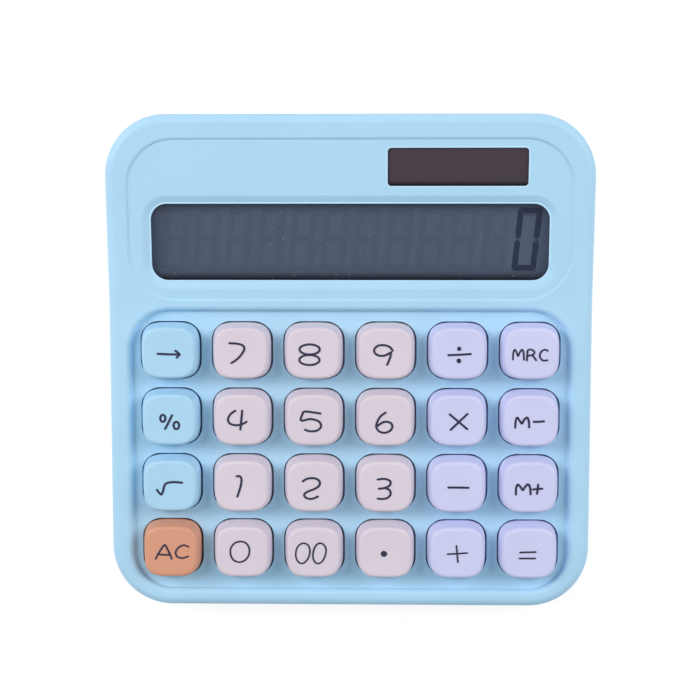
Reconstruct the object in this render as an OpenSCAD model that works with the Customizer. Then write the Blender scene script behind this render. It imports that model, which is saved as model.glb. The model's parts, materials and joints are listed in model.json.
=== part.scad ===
// Desk calculator: sloped two-piece case, 24 sprung keys over a dome sheet,
// display under a window, light cell, circuit board and a slide-off cell door.
// Millimetres. +Z up, front edge at -Y, origin under the middle of the case on the desk.

/* [Case] */
// width of the case
body_w = 150; // [148:1:164]
// depth of the case
body_d = 152; // [151:1:164]
// corner radius of the case seen from above
corner_r = 19; // [15:0.5:22]
// height of the rim at the front edge
front_h = 16; // [16:0.5:22]
// slope of the keypad half, degrees
key_slope = 6; // [4:0.5:8]
// slope of the display half, degrees
view_slope = 11.6; // [10:0.2:14]
// distance from the bend of the top to the back wall
display_d = 57.6; // [57.2:0.2:62]
// rounding of the outer top edge
edge_r = 3; // [2:0.25:4]
// rounding of the bottom edge
base_r = 2.5; // [1.5:0.25:3]
// wall of the two case halves
wall = 2.2; // [2:0.1:2.6]
// floor of the rear case
floor_t = 1.8; // [1.8:0.1:2.4]
// height of the parting line over the desk
split_z = 8.5; // [8:0.25:9.5]
// width of the shadow groove at the parting line
reveal = 0.6; // [0.4:0.1:0.9]
// overlap lip of the rear case inside the front case
lip_h = 1.4; // [1:0.1:2]

/* [Keypad tray] */
// rim beside the tray
side_rim = 6.8; // [6:0.1:8]
// rim in front of the tray
front_rim = 5.1; // [4.5:0.1:6]
// half width of the ridge between tray and display
ridge = 1.9; // [1.9:0.1:2.6]
// depth of the tray below the rim
tray_depth = 2.4; // [2:0.1:3]
// corner radius of the tray
tray_r = 12.2; // [9:0.2:14]
// rounding of the inner edge of the rim
tray_edge_r = 1.8; // [1:0.1:1.8]
// thickness of the deck that the keys pass through
deck_t = 1.8; // [1.5:0.1:2.2]

/* [Keys] */
// space between neighbouring keys, side to side, at their base
key_space_x = 3.87; // [3.6:0.01:4.4]
// space between neighbouring keys, front to back, at their base
key_space_v = 3.4; // [3.2:0.05:4]
// space between the outer keys and the side walls of the tray
tray_side = 3.025; // [2.2:0.005:4]
// space between the outer keys and the front and back walls of the tray
tray_end = 4.06; // [3.2:0.01:5]
// height of a key over the tray
key_h = 5.8; // [4.5:0.1:7]
// corner radius of a key
key_r = 5.6; // [4.5:0.1:6]
// how much a key narrows on each side towards its top
key_taper = 1.1; // [0.6:0.1:1.5]
// rounding of the top edge of a key
key_edge_r = 1; // [0.6:0.1:1.3]
// wall of a hollow key
key_wall = 1.2; // [1:0.1:1.5]
// gap between a key and its hole
key_gap = 0.35; // [0.25:0.05:0.45]
// how far a key goes down
key_travel = 2.5; // [1.5:0.1:2.7]
// shift of the keys from the middle of the tray
key_shift = 0.4; // [0:0.1:0.8]

/* [Display] */
// rim beside the display recess
view_rim = 7.3; // [6.5:0.1:8]
// rim behind the display recess
back_rim = 8.4; // [7.6:0.1:9]
// depth of the display recess
view_depth = 1.3; // [1:0.1:1.6]
// corner radius of the display recess
view_r = 14; // [10:0.5:15]
// space between the display window and the sides of the recess
lcd_side = 6.4; // [6.2:0.1:12]
// visible depth of the display window
lcd_l = 23.7; // [20:0.1:24]
// corner radius of the display window
lcd_r = 5; // [3:0.25:6]
// middle of the display window, from the front edge of the recess
lcd_place = 17.2; // [17:0.1:17.6]
// width of the bevel round the display window
lcd_bevel = 2.3; // [1.5:0.1:2.5]
// visible width of the light-cell window
solar_w = 42.9; // [35:0.1:46]
// visible depth of the light-cell window
solar_l = 11.6; // [9:0.1:12]
// space between the light-cell window and the side of the recess
solar_side = 13.25; // [10:0.25:18]

/* [Power] */
// diameter of the cell
cell_d = 10.5; // [10.5:0.1:11]
// length of the cell with its button
cell_l = 44.5; // [44:0.1:45]
// distance from the cell to the back wall
cell_back = 21; // [19:0.5:24]
// how far the cell door slides off
door_travel = 28; // [20:1:32]
// width of the cell door
door_w = 60; // [58:1:66]

/* [Feet and screws] */
// diameter of a rubber foot
foot_d = 10; // [8:0.5:12]
// height of the feet under the case
foot_h = 1.5; // [1:0.1:2]
// shank diameter of the case screws
screw_d = 2.6; // [2.2:0.1:3]
// length of the case screws under the head
screw_l = 8; // [7:0.5:8.5]

/* [Hidden] */
$fn = 48;
eps = 0.01;

// colours
shell_c = [0.66, 0.84, 0.94];
base_c = [0.60, 0.77, 0.87];
blue_c = [0.68, 0.84, 0.94];
lilac_c = [0.80, 0.81, 0.94];
pink_c = [0.86, 0.81, 0.86];
orange_c = [0.84, 0.60, 0.49];
slate_c = [0.31, 0.35, 0.42];
brown_c = [0.28, 0.24, 0.27];
white_c = [0.93, 0.93, 0.91];
board_c = [0.55, 0.42, 0.22];
metal_c = [0.75, 0.75, 0.77];
black_c = [0.12, 0.12, 0.13];
red_c = [0.72, 0.13, 0.12];
rubber_c = [0.35, 0.36, 0.38];

// the bend of the top, where keypad plane and display plane meet
bend_y = body_d/2 - display_d;
bend_z = front_h + (bend_y + body_d/2)*tan(key_slope);
key_len = (bend_y + body_d/2)/cos(key_slope);
view_len = display_d/cos(view_slope);
floor_z = foot_h + floor_t;
tall = bend_z + display_d;           // above every part of the case
clear = 0.1;                         // running gap between pieces that are put together

// tray and key grid, on the keypad plane
tray_w = body_w - 2*side_rim;
tray_l = key_len - front_rim - ridge;
tray_v = -ridge - tray_l/2;
cols = 6;
rows = 4;
key_w = (tray_w - 2*tray_side - (cols - 1)*key_space_x)/cols;
key_l = (tray_l - 2*tray_end - (rows - 1)*key_space_v)/rows;
pitch_x = key_w + key_space_x;
pitch_v = key_l + key_space_v;
function key_x(c) = (c - (cols - 1)/2)*pitch_x;
function key_v(r) = tray_v + key_shift + ((rows - 1)/2 - r)*pitch_v;

// heights over the tray floor of the layers under the keys
collar_t = 1;                        // wall of the guide collar round each key hole
collar_b = -3.3;                     // lower end of the collars
flange_t = 1;                        // flange that keeps a key in
flange_out = 0.55;                   // how far it reaches past the hole
flange_z = collar_b - clear - flange_t;
mat_z = flange_z - key_travel - 2*clear;
mat_t = 0.8;
board_z = mat_z - mat_t;             // top of the circuit board
board_t = 1.6;
dome_r = 4.6;
dome_top_r = 3;
dome_h = 2.4;
dome_t = 0.6;
stem_z = mat_z + dome_h + 2*clear;   // lower end of the key stems
stem_r = 2.5;
deck_z = -tray_depth - deck_t;       // underside of the deck, below the rim
mat_w = 2*key_x(cols - 1) + 2*dome_r + 6;
mat_front = key_v(rows - 1) - dome_r - 0.9;
mat_back = key_v(0) + dome_r + 0.5;
board_w = mat_w + 1;
board_front = mat_front - 2.3;
board_back = -ridge - 2.1;
board_screw_l = 7;
board_screw_r = 1;
small_head_r = 1.9;
small_head_h = 1.2;
lcd_screw_l = 5;
chip_h = 1.6;                        // blob of resin over the chip
chip_round = 21;
chip_reach = 8;
lead_x = 18;                         // where the cell leads meet the board
lead_rise = 1.4;                     // bow of the cell leads over the bay
lead_drop = 1.4;
lead_run = 9;

// display stack, on the display plane
recess_w = body_w - 2*view_rim;
recess_front = 2.1;
recess_back = view_len - back_rim;
recess_l = recess_back - recess_front;
recess_v = (recess_front + recess_back)/2;
view_edge_r = 1.2;
lcd_w = recess_w - 2*lcd_side;       // visible width of the display window
view_deck_t = 2.2;
view_deck_z = -view_depth - view_deck_t;
lcd_v = recess_front + lcd_place;
lens_seat = -view_depth - 1.1;       // top of the display window
lens_t = 1.2;
lens_over = 1.4;                     // glue edge of the display window
ring_z = lens_seat - lens_t - 0.8;   // lower end of the window rings
ring_t = 1.2;
glass_over = 2.2;                    // how far the display glass reaches past the window
glass_v_over = 2.9;
glass_t = 1.1;                       // each of the two glasses
glass_z = ring_z - 0.1;
glass_w = lcd_w + 2*glass_over + 2.6;
glass_l = lcd_l + 2*glass_v_over;
frame_t = 1.1;
frame_w = glass_w + 2*clear + 2*frame_t;
frame_l = glass_l + 2*clear + 2*frame_t;
frame_z = glass_z - 2*glass_t - 0.05;  // inner floor of the frame
ledge = 2.7;                         // contact ledge of the lower glass
ear_x = frame_w/2 + 3.1;
ear_v = 9;
ear_r = 2.3;
solar_x = recess_w/2 - solar_side - solar_w/2;
solar_v = recess_back - 8.1;
solar_r = 1.2;
solar_seat = -view_depth - 0.6;
solar_t = 1.1;
solar_over = 0.9;
solar_z = solar_seat - 2*solar_t - 0.2;

// screws
boss_r = 2.8;
tower_r = 3.9;
seat_z = foot_h + 1.9;               // under the screw heads
tower_z = seat_z + 2;
head_r = 2.5;
head_h = 1.6;
case_screw_at = [
    for (s = [-1, 1]) each [
        [s*2*pitch_x, -body_d/2 + 5.6], [s*(body_w/2 - 6), bend_y - 1.4],
        [s*(body_w/2 - 13), body_d/2 - 11.5]
    ]
];
board_screw_at = [for (c = [0.5, 2.5, 4.5]) for (r = [0.5, 2.5]) [key_x(c), key_v(r)]];
foot_x = body_w/2 - 15;
foot_front = -body_d/2 + 18;
foot_back = body_d/2 - 27;           // clear of the screw wells
foot_sink = 1;

// cell bay
cell_y = body_d/2 - cell_back;
cell_z = floor_z + 0.3 + cell_d/2;
bay_in = cell_d/2 + clear + 0.25;    // half depth of the bay inside
bay_half = cell_l/2 + 2.5;           // half length of the bay inside
bay_top = cell_z + cell_d/2 + 0.3;
bay_t = 1.3;
plate_t = 0.4;                       // contact plates
tongue = 1.5;                        // door tongues
tongue_z = foot_h + 0.9;
door_front = cell_y - bay_in - 4;
shelf_t = 1.6;
spring_turns = 3.5;
wire_r = 0.55;

function on_key(x, v, w) = [x, bend_y + v*cos(key_slope) - w*sin(key_slope),
    bend_z + v*sin(key_slope) + w*cos(key_slope)];
function on_view(x, v, w) = [x, bend_y + v*cos(view_slope) - w*sin(view_slope),
    bend_z + v*sin(view_slope) + w*cos(view_slope)];

module key_plane() translate([0, bend_y, bend_z]) rotate([key_slope, 0, 0]) children();
module view_plane() translate([0, bend_y, bend_z]) rotate([view_slope, 0, 0]) children();
// from the tray floor, for what lies under the keys
module tray_plane() key_plane() translate([0, 0, -tray_depth]) children();

// ---- shared shapes ----

module rounded(w, l, r) {
    square([w - 2*r, l], center = true);
    square([w, l - 2*r], center = true);
    for (x = [-1, 1], y = [-1, 1]) translate([x*(w/2 - r), y*(l/2 - r)]) circle(r);
}

module slab(w, l, r, z0, z1) translate([0, 0, z0]) linear_extrude(z1 - z0) rounded(w, l, r);

// half section of a block with a rounded top edge; below the rounding it widens by flare
module block_section(half, r, depth, flare) {
    translate([0, -r]) square([half - r, r]);
    translate([half - r, -r]) circle(r);
    translate([0, -depth]) square([half + flare, depth - r]);
}

// half section of the cutter for a recess whose upper edge is rounded outwards
module recess_section(half, r, depth) {
    translate([0, -depth]) square([half, depth + 3]);
    difference() {
        translate([half - eps, -r]) square([r + eps, r + 3]);
        translate([half + r, -r]) circle(r);
    }
}

// half section of the tapered part of a key, down to the tray floor
module key_section(half, r, depth, taper) {
    land = 0.3;                      // straight part at the foot
    t = taper/(depth - land);
    a = atan(t);
    xc = half - (depth - r - land)*t - r/cos(a);
    polygon([[0, -depth], [half, -depth], [half, land - depth],
        [xc + r*cos(a), -r + r*sin(a)], [xc, 0], [0, 0]]);
    translate([xc, -r]) circle(r);
}

module section(kind, half, r, depth, more) {
    if (kind == "block") block_section(half, r, depth, more);
    else if (kind == "key") key_section(half, r, depth, more);
    else recess_section(half, r, depth);
}

// carries a section round a rounded rectangle, top at z = 0
module swept(kind, w, l, corner, r, depth, more = 0) {
    rotate([90, 0, 0]) translate([0, 0, corner - l/2]) linear_extrude(l - 2*corner)
        for (s = [0, 1]) mirror([s, 0]) section(kind, w/2, r, depth, more);
    for (s = [0, 1]) mirror([0, s, 0]) {
        translate([corner - w/2, l/2 - corner, 0]) rotate([90, 0, 90])
            linear_extrude(w - 2*corner) section(kind, corner, r, depth, more);
        for (t = [0, 1]) mirror([t, 0, 0]) translate([w/2 - corner, l/2 - corner, 0])
            rotate_extrude(angle = 90) section(kind, corner, r, depth, more);
    }
}

// tube of radius r along smooth points
module tube(pts, r, n = 10) {
    k = len(pts);
    dir = [for (i = [0:k - 1]) let (d = pts[min(i + 1, k - 1)] - pts[max(i - 1, 0)]) d/norm(d)];
    ref = abs(dir[0].z) > 0.9 ? [1, 0, 0] : [0, 0, 1];
    rings = [for (i = [0:k - 1]) let (
        a = cross(dir[i], abs(dir[i]*ref) > 0.9 ? [0, 1, 0] : ref), u = a/norm(a),
        w = cross(dir[i], u)) for (j = [0:n - 1])
        pts[i] + r*(u*cos(360*j/n) + w*sin(360*j/n))];
    sides = [for (i = [0:k - 2], j = [0:n - 1]) [i*n + j, (i + 1)*n + j,
        (i + 1)*n + (j + 1) % n, i*n + (j + 1) % n]];
    polyhedron(rings, concat(sides, [[for (j = [0:n - 1]) j],
        [for (j = [0:n - 1]) k*n - 1 - j]]), 4);
}

// smooth points through hand-placed ones
function bend_at(p, i, t) = let (k = len(p) - 1, a = p[max(i - 1, 0)], b = p[i], c = p[min(i + 1, k)],
    d = p[min(i + 2, k)]) 0.5*(2*b + (c - a)*t + (2*a - 5*b + 4*c - d)*t*t
    + (3*b - a - 3*c + d)*t*t*t);
function smooth(p, n = 5) = concat([for (i = [0:len(p) - 2], j = [0:n - 1]) bend_at(p, i, j/n)],
    [p[len(p) - 1]]);

// ---- the case ----

skin_fit = 0.1;

module case_prism(inset, z0, z1)
    slab(body_w - 2*inset, body_d - 2*inset, corner_r - inset, z0, z1);

// blocks under the keypad plane and the display plane, with the rounded rim edge
module top_skin() {
    w = body_w + 2*skin_fit;
    r = corner_r - 2*skin_fit;       // its seams keep clear of those of the walls
    over = r + 10;
    depth = 45;
    front = (bend_y + body_d/2 + skin_fit + edge_r*sin(key_slope))/cos(key_slope);
    back = (display_d + skin_fit - edge_r*sin(view_slope))/cos(view_slope);
    key_plane() translate([0, (over - front)/2, 0])
        swept("block", w, front + over, r, edge_r, depth, 5);
    view_plane() translate([0, (back - over)/2, 0])
        swept("block", w, back + over, r, edge_r, depth, 12);
}

// room inside the front case, under deck and display deck
module cavity() {
    big = 200;
    intersection() {
        case_prism(wall, 0, tall);
        union() {
            key_plane() translate([-big/2, -big, deck_z - big]) cube([big, big + 5, big]);
            view_plane() translate([-big/2, -1, view_deck_z - big]) cube([big, big, big]);
        }
    }
}

module key_plan(g) rounded(key_w + 2*g, key_l + 2*g, key_r + g);

module at_keys() for (c = [0:cols - 1], r = [0:rows - 1])
    translate([key_x(c), key_v(r), 0]) children();

module front_case() color(shell_c) difference() {
    union() {
        difference() {
            intersection() {
                case_prism(0, split_z, tall);
                top_skin();
            }
            key_plane() translate([0, tray_v, 0])
                swept("recess", tray_w, tray_l, tray_r, tray_edge_r, tray_depth);
            view_plane() translate([0, recess_v, 0])
                swept("recess", recess_w, recess_l, view_r, view_edge_r, view_depth);
            cavity();
            case_prism(wall/2, split_z - 1, split_z + lip_h + clear);
        }
        // guide collars round the key holes
        tray_plane() translate([0, 0, collar_b]) linear_extrude(-collar_b - deck_t + 0.2)
            at_keys() key_plan(key_gap + collar_t);
        // posts that carry the circuit board
        tray_plane() for (p = board_screw_at) translate([p.x, p.y, mat_z])
            cylinder(r = 2.6, h = -mat_z - deck_t + 0.2);
        // rings that hold the two windows
        view_plane() {
            translate([0, lcd_v, 0]) slab(lcd_w + 2*(lens_over + clear + ring_t),
                lcd_l + 2*(lens_over + clear + ring_t), lcd_r + lens_over + ring_t,
                ring_z, view_deck_z + 0.2);
            translate([solar_x, solar_v, 0]) slab(solar_w + 2*(solar_over + clear + ring_t),
                solar_l + 2*(solar_over + clear + ring_t), solar_r + solar_over + ring_t,
                solar_z, view_deck_z + 0.2);
            for (x = [-1, 1], v = [-1, 1])
                translate([x*ear_x, lcd_v + v*ear_v, frame_z])
                cylinder(r = ear_r, h = view_deck_z - frame_z + 0.2);
        }
        screw_posts();
    }
    // key holes
    tray_plane() translate([0, 0, collar_b - 1]) linear_extrude(-collar_b + 2)
        at_keys() key_plan(key_gap);
    tray_plane() for (p = board_screw_at) translate([p.x, p.y, mat_z - eps])
        cylinder(r = board_screw_r + 0.05, h = board_screw_l - board_t - mat_t + 0.4);
    view_plane() {
        translate([0, lcd_v, 0]) {
            lcd_opening();
            slab(lcd_w + 2*(lens_over + clear), lcd_l + 2*(lens_over + clear),
                lcd_r + lens_over, ring_z - 1, lens_seat);
        }
        translate([solar_x, solar_v, 0]) {
            slab(solar_w, solar_l, solar_r, solar_seat - 1, 1);
            slab(solar_w + 0.8, solar_l + 0.8, solar_r + 0.4, -view_depth - 0.25, 1);
            slab(solar_w + 2*(solar_over + clear), solar_l + 2*(solar_over + clear),
                solar_r + solar_over, solar_z - 1, solar_seat);
        }
        for (x = [-1, 1], v = [-1, 1]) translate([x*ear_x, lcd_v + v*ear_v, frame_z - eps])
            cylinder(r = board_screw_r + 0.05, h = 4.2);
    }
    for (p = case_screw_at) translate([p.x, p.y, tower_z - 1])
        cylinder(r = screw_d/2 + 0.05, h = seat_z + screw_l + 0.5 - tower_z + 1);
}

// bevel that leads down to the display window
module lcd_opening() {
    lip = lens_seat + 0.4;
    slab(lcd_w, lcd_l, lcd_r, lens_seat - 1, 1);
    translate([0, 0, lip]) {
        w = lcd_w/2 - lcd_r;
        l = lcd_l/2 - lcd_r;
        h = -view_depth - lip;
        for (x = [-1, 1], y = [-1, 1]) translate([x*w, y*l, 0])
            cylinder(r1 = lcd_r, r2 = lcd_r + lcd_bevel, h = h);
        for (s = [-1, 1]) {
            rotate([90, 0, 0]) translate([0, 0, -l]) linear_extrude(2*l)
                bevel_section(s, w, lcd_r, lcd_bevel, h);
            rotate([90, 0, 90]) translate([0, 0, -w]) linear_extrude(2*w)
                bevel_section(s, l, lcd_r, lcd_bevel, h);
        }
    }
}

module bevel_section(s, half, r, b, h)
    polygon([[0, 0], [s*(half + r), 0], [s*(half + r + b), h], [0, h]]);

// long posts of the front case for the case screws, tied to the walls
module screw_posts() intersection() {
    union() {
        for (p = case_screw_at) {
            translate([p.x, p.y, tower_z + 0.05]) cylinder(r = boss_r, h = tall);
            out = p.y < 0 ? [0, -1] : [sign(p.x), 0];
            translate([p.x, p.y, split_z + lip_h + 2*clear]) rotate(atan2(out.y, out.x))
                translate([0, -0.7, 0]) cube([p.y > 30 ? 13 : 6, 1.4, tall]);
        }
    }
    union() {
        cavity();
        // up into the decks, never through them
        intersection() {
            case_prism(wall/2, split_z + lip_h + 2*clear, tall);
            union() {
                key_plane() translate([-body_w, -body_d, deck_z - body_w])
                    cube([2*body_w, body_d + 5, body_w + 0.2]);
                view_plane() translate([-body_w, 0, view_deck_z - body_w])
                    cube([2*body_w, body_d, body_w + 0.2]);
            }
        }
    }
}

// outside of the rear case: rounded bottom edge and the shadow groove
module base_skin() {
    translate([0, 0, foot_h]) mirror([0, 0, 1])
        swept("block", body_w, body_d, corner_r, base_r, split_z - foot_h - reveal);
    case_prism(reveal - 0.1, split_z - reveal - eps, split_z);
}

module rear_case() color(base_c) difference() {
    union() {
        difference() {
            base_skin();
            case_prism(wall, floor_z, split_z + 1);
        }
        difference() {
            case_prism(wall/2 + clear, split_z - 1, split_z + lip_h);
            case_prism(wall, split_z - 2, split_z + lip_h + 1);
        }
        for (p = case_screw_at) translate([p.x, p.y, foot_h + floor_t/2])
            cylinder(r = tower_r, h = tower_z - foot_h - floor_t/2);
        bay_shell();
    }
    bay_room();
    door_channel();
    for (p = case_screw_at) translate([p.x, p.y, 0]) {
        cylinder(r = head_r + 0.4, h = seat_z);
        cylinder(r = screw_d/2 + 0.25, h = tower_z + 1);
    }
    for (x = [-foot_x, foot_x], y = [foot_front, foot_back]) translate([x, y, 0])
        cylinder(r = foot_d/2 + clear, h = foot_h + foot_sink);
}

// shelf over the door, and the box round the cell
module bay_shell() {
    half = door_w/2 + tongue + 2.6;
    back = body_d/2 - wall;
    translate([-half, door_front - 2, foot_h + floor_t/2])
        cube([2*half, back - door_front + 2 + eps, floor_t/2 + 0.1 + shelf_t]);
    translate([-bay_half - bay_t, cell_y - bay_in - bay_t, floor_z])
        cube([2*(bay_half + bay_t), 2*(bay_in + bay_t), bay_top + bay_t - floor_z]);
    // wall behind the upstand of the door
    translate([-half, back - 1.6, floor_z]) cube([2*half, 1.6 + eps, split_z + lip_h - floor_z]);
}

module bay_room() {
    translate([-bay_half, cell_y - bay_in, 0]) cube([2*bay_half, 2*bay_in, bay_top]);
    for (s = [-1, 1]) translate([s*(bay_half - plate_t/2) - 0.3, cell_y - 3.2, bay_top - 1])
        cube([0.6, 6.4, bay_t + 2]);
}

module door_channel() {
    y0 = door_front - 2*clear;
    translate([-door_w/2 - 2*clear, y0, 0]) cube([door_w + 4*clear, body_d, floor_z + clear]);
    translate([-door_w/2 - tongue - 2*clear, y0, tongue_z - clear])
        cube([door_w + 2*tongue + 4*clear, body_d, floor_z - tongue_z + 2*clear]);
    translate([-door_w/2 - 2*clear, body_d/2 - wall, 0])
        cube([door_w + 4*clear, wall + 1, split_z]);
}

module battery_door() color(base_c) difference() {
    intersection() {
        base_skin();
        union() {
            translate([-door_w/2, door_front, 0]) cube([door_w, body_d, floor_z]);
            translate([-door_w/2 - tongue, door_front, tongue_z])
                cube([door_w + 2*tongue, body_d, floor_z - tongue_z]);
            translate([-door_w/2, body_d/2 - wall + clear, 0])
                cube([door_w, wall, split_z - clear]);
        }
    }
    // finger grooves
    for (i = [0:3]) translate([-9, door_front + 5 + 2.4*i, foot_h - 1]) cube([18, 1.1, 1.5]);
}

// ---- windows, display and light cell ----

module display_window() color(slate_c) view_plane() translate([0, lcd_v, 0])
    slab(lcd_w + 2*lens_over, lcd_l + 2*lens_over, lcd_r + lens_over - clear,
        lens_seat - lens_t, lens_seat - 0.02);

module solar_window() color(brown_c) view_plane() translate([solar_x, solar_v, 0])
    slab(solar_w + 2*solar_over, solar_l + 2*solar_over, solar_r + solar_over - clear,
        solar_seat - solar_t, solar_seat - 0.02);

module solar_cell() color(black_c) view_plane() translate([solar_x, solar_v, 0])
    slab(solar_w + 2*(solar_over - clear), solar_l + 2*(solar_over - clear),
        solar_r + solar_over - clear, solar_seat - 2*solar_t - 0.03, solar_seat - solar_t - 0.03);

module lcd_panel() color(slate_c) view_plane() translate([0, lcd_v, 0]) {
    translate([-glass_w/2, -glass_l/2, glass_z - 2*glass_t]) cube([glass_w, glass_l, glass_t]);
    translate([-glass_w/2, -glass_l/2 + ledge, glass_z - glass_t - eps])
        cube([glass_w, glass_l - ledge, glass_t + eps]);
}

module lcd_frame() color(white_c) view_plane() translate([0, lcd_v, 0]) difference() {
    union() {
        slab(frame_w, frame_l, 1.5, frame_z - 1, ring_z - 0.05);
        for (x = [-1, 1], v = [-1, 1]) {
            translate([x*ear_x, v*ear_v, frame_z - 1]) cylinder(r = 2.6, h = 0.98);
            translate([x*(ear_x + frame_w/2 - 1)/2, v*ear_v, frame_z - 0.51])
                cube([ear_x - frame_w/2 + 1, 5.2, 0.98], center = true);
        }
    }
    translate([-glass_w/2 - clear, -glass_l/2 - clear, frame_z])
        cube([glass_w + 2*clear, glass_l + 2*clear, 10]);
    // way out for the ribbon
    translate([-ribbon_w/2 - 2, -frame_l/2 - 1, glass_z - glass_t - 0.4])
        cube([ribbon_w + 4, frame_t + 2, 5]);
    // light weight windows in the back of the frame
    for (i = [-2:2]) translate([i*24 - 8, -8, frame_z - 2]) cube([16, 16, 3]);
    for (x = [-1, 1], v = [-1, 1]) translate([x*ear_x, v*ear_v, frame_z - 2])
        cylinder(r = board_screw_r + 0.2, h = 3);
}

ribbon_w = 96;
ribbon_clear = 0.96;                 // from the end of the ribbon to the dome sheet
ribbon_t = 0.2;

// film that joins the ledge of the display glass to the back edge of the board
module lcd_ribbon() color(brown_c) {
    top = glass_z - glass_t + 0.02 + ribbon_t/2;
    low = -tray_depth + board_z + 0.02 + ribbon_t/2;
    edge = lcd_v - glass_l/2;
    path = concat(smooth([on_view(0, edge + ledge - 0.4, top), on_view(0, edge, top),
        on_view(0, edge - 2.4, top - 0.1), on_key(0, board_back + 1.6, low + 2.2),
        on_key(0, board_back - 0.6, low)], 4), [on_key(0, mat_back + ribbon_clear, low)]);
    n = len(path);
    side = [for (i = [0:n - 1]) let (d = path[min(i + 1, n - 1)] - path[max(i - 1, 0)],
        u = d/norm(d)) [-u.z, u.y]*ribbon_t/2];
    translate([-ribbon_w/2, 0, 0]) rotate([90, 0, 90]) linear_extrude(ribbon_w)
        polygon(concat([for (i = [0:n - 1]) [path[i].y, path[i].z] + side[i]],
            [for (i = [n - 1:-1:0]) [path[i].y, path[i].z] - side[i]]));
}

// ---- board and dome sheet ----

module main_board() color(board_c) tray_plane() difference() {
    translate([0, (board_front + board_back)/2, 0])
        slab(board_w, board_back - board_front, 2, board_z - board_t, board_z - 0.02);
    for (p = board_screw_at) translate([p.x, p.y, board_z - board_t - 1])
        cylinder(r = board_screw_r + 0.2, h = board_t + 2);
}

module chip_blob() color(black_c) tray_plane()
    translate([0, key_v(1.5), board_z - board_t]) mirror([0, 0, 1]) rotate_extrude() intersection() {
        square([chip_reach, chip_h]);
        translate([0, chip_h - chip_round]) circle(chip_round, $fn = 360);
    }

module capacitor() color(black_c) tray_plane()
    translate([30, key_v(0.5), board_z - board_t - 0.02]) mirror([0, 0, 1]) difference() {
        cylinder(r = 2.5, h = 5);
        translate([0, 0, 1]) rotate_extrude() translate([2.75, 0]) circle(r = 0.45);
    }

module key_mat() color(white_c) tray_plane() difference() {
    union() {
        translate([0, (mat_front + mat_back)/2, 0])
            slab(mat_w, mat_back - mat_front, 3, board_z, mat_z);
        at_keys() translate([0, 0, mat_z - eps])
            cylinder(r1 = dome_r, r2 = dome_top_r, h = dome_h + eps);
    }
    at_keys() {
        translate([0, 0, board_z - 1]) cylinder(r = dome_r - dome_t, h = mat_t + 1 + eps);
        translate([0, 0, mat_z - 0.05]) cylinder(r1 = dome_r - dome_t, r2 = dome_top_r - dome_t,
            h = dome_h - 1.1);
    }
    for (p = board_screw_at) translate([p.x, p.y, board_z - 1])
        cylinder(r = board_screw_r + 0.2, h = mat_t + 2);
}

// ---- keys ----

// hollow cap, straight skirt in the hole, flange under the collar, stem over the dome
module key_cap(c, r, tint) color(tint) tray_plane() translate([key_x(c), key_v(r), 0]) {
    difference() {
        union() {
            translate([0, 0, key_h])
                swept("key", key_w, key_l, key_r, key_edge_r, key_h, key_taper);
            translate([0, 0, flange_z]) linear_extrude(-flange_z + 0.1) key_plan(0);
            translate([0, 0, flange_z]) linear_extrude(flange_t)
                key_plan(key_gap + flange_out);
        }
        translate([0, 0, flange_z - 1]) linear_extrude(1 - flange_z + 0.4)
            key_plan(-key_wall);
        translate([0, 0, 0]) linear_extrude(key_h - 1.4) key_plan(-key_wall - key_taper);
    }
    translate([0, 0, stem_z]) cylinder(r = stem_r, h = key_h - 1.2 - stem_z);
    for (a = [0, 90]) rotate(a) translate([-key_l/2 + 1.9, -0.45, -1.2])
        cube([key_l - 3.8, 0.9, key_h + 0.1]);
}

// ---- power ----

module battery_cell() color(metal_c) translate([bay_half - plate_t, cell_y, cell_z])
    rotate([0, -90, 0]) {
        translate([0, 0, 0.9]) cylinder(d = cell_d, h = cell_l - 0.9);
        translate([0, 0, 0.02]) cylinder(d = 3.8, h = 1);
    }

module contact_plate(s) translate([s*(bay_half - plate_t/2 - 0.01) - plate_t/2, cell_y - 3, 5.2])
    cube([plate_t, 6, bay_top + bay_t + 1.6 - 5.2]);

module contact_plus() color(metal_c) contact_plate(1);

// plate with the coil that pushes the cell
module contact_minus() color(metal_c) {
    contact_plate(-1);
    from = -bay_half + plate_t - 0.15;
    reach = 2*bay_half - cell_l - 2*plate_t - 0.45;
    n = 14;
    tube([for (i = [0:spring_turns*n]) let (t = i/(spring_turns*n), a = 360*i/n, q = 3.6 - 0.9*t)
        [from + 0.25 + reach*t, cell_y + q*cos(a), cell_z + q*sin(a)]], 0.3, 8);
}

module cell_lead(s, tint) color(tint) {
    end = on_key(s*lead_x, board_back - 6, -tray_depth + board_z - board_t - wire_r - 0.05);
    tube(smooth([[s*(bay_half - plate_t - wire_r + 0.1) - s*0.15, cell_y, bay_top + bay_t + wire_r + 0.3],
        [s*(bay_half - 5), cell_y - 0.7*bay_in, bay_top + bay_t + wire_r + lead_rise],
        [s*(lead_x + 1), cell_y - bay_in - lead_run, bay_top],
        [s*lead_x, end.y + lead_run, end.z - lead_drop], end]), wire_r);
}

module solar_lead(s, tint) color(tint) {
    x = solar_x + s*6;
    end = on_key(x, board_back - 6, -tray_depth + board_z - board_t - wire_r - 0.05);
    tube(smooth([on_view(x, solar_v, solar_z + 0.22 - wire_r),
        on_view(x, solar_v - 3, frame_z - 3.2), on_view(x, lcd_v, frame_z - 2.4),
        [x, end.y + lead_run, end.z - lead_drop], end]), wire_r);
}

// ---- screws and feet ----

module screw(r, l, hr, hh) {
    difference() {
        translate([0, 0, -hh]) cylinder(r = hr, h = hh - 0.02);
        for (a = [0, 90]) rotate(a) translate([-hr*0.6, -0.35, -hh - 1]) cube([hr*1.2, 0.7, 1.8]);
    }
    translate([0, 0, -0.1]) cylinder(r = r, h = l - 0.7);
    translate([0, 0, l - 0.8]) cylinder(r1 = r, r2 = r/2, h = 0.8);
}

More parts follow.
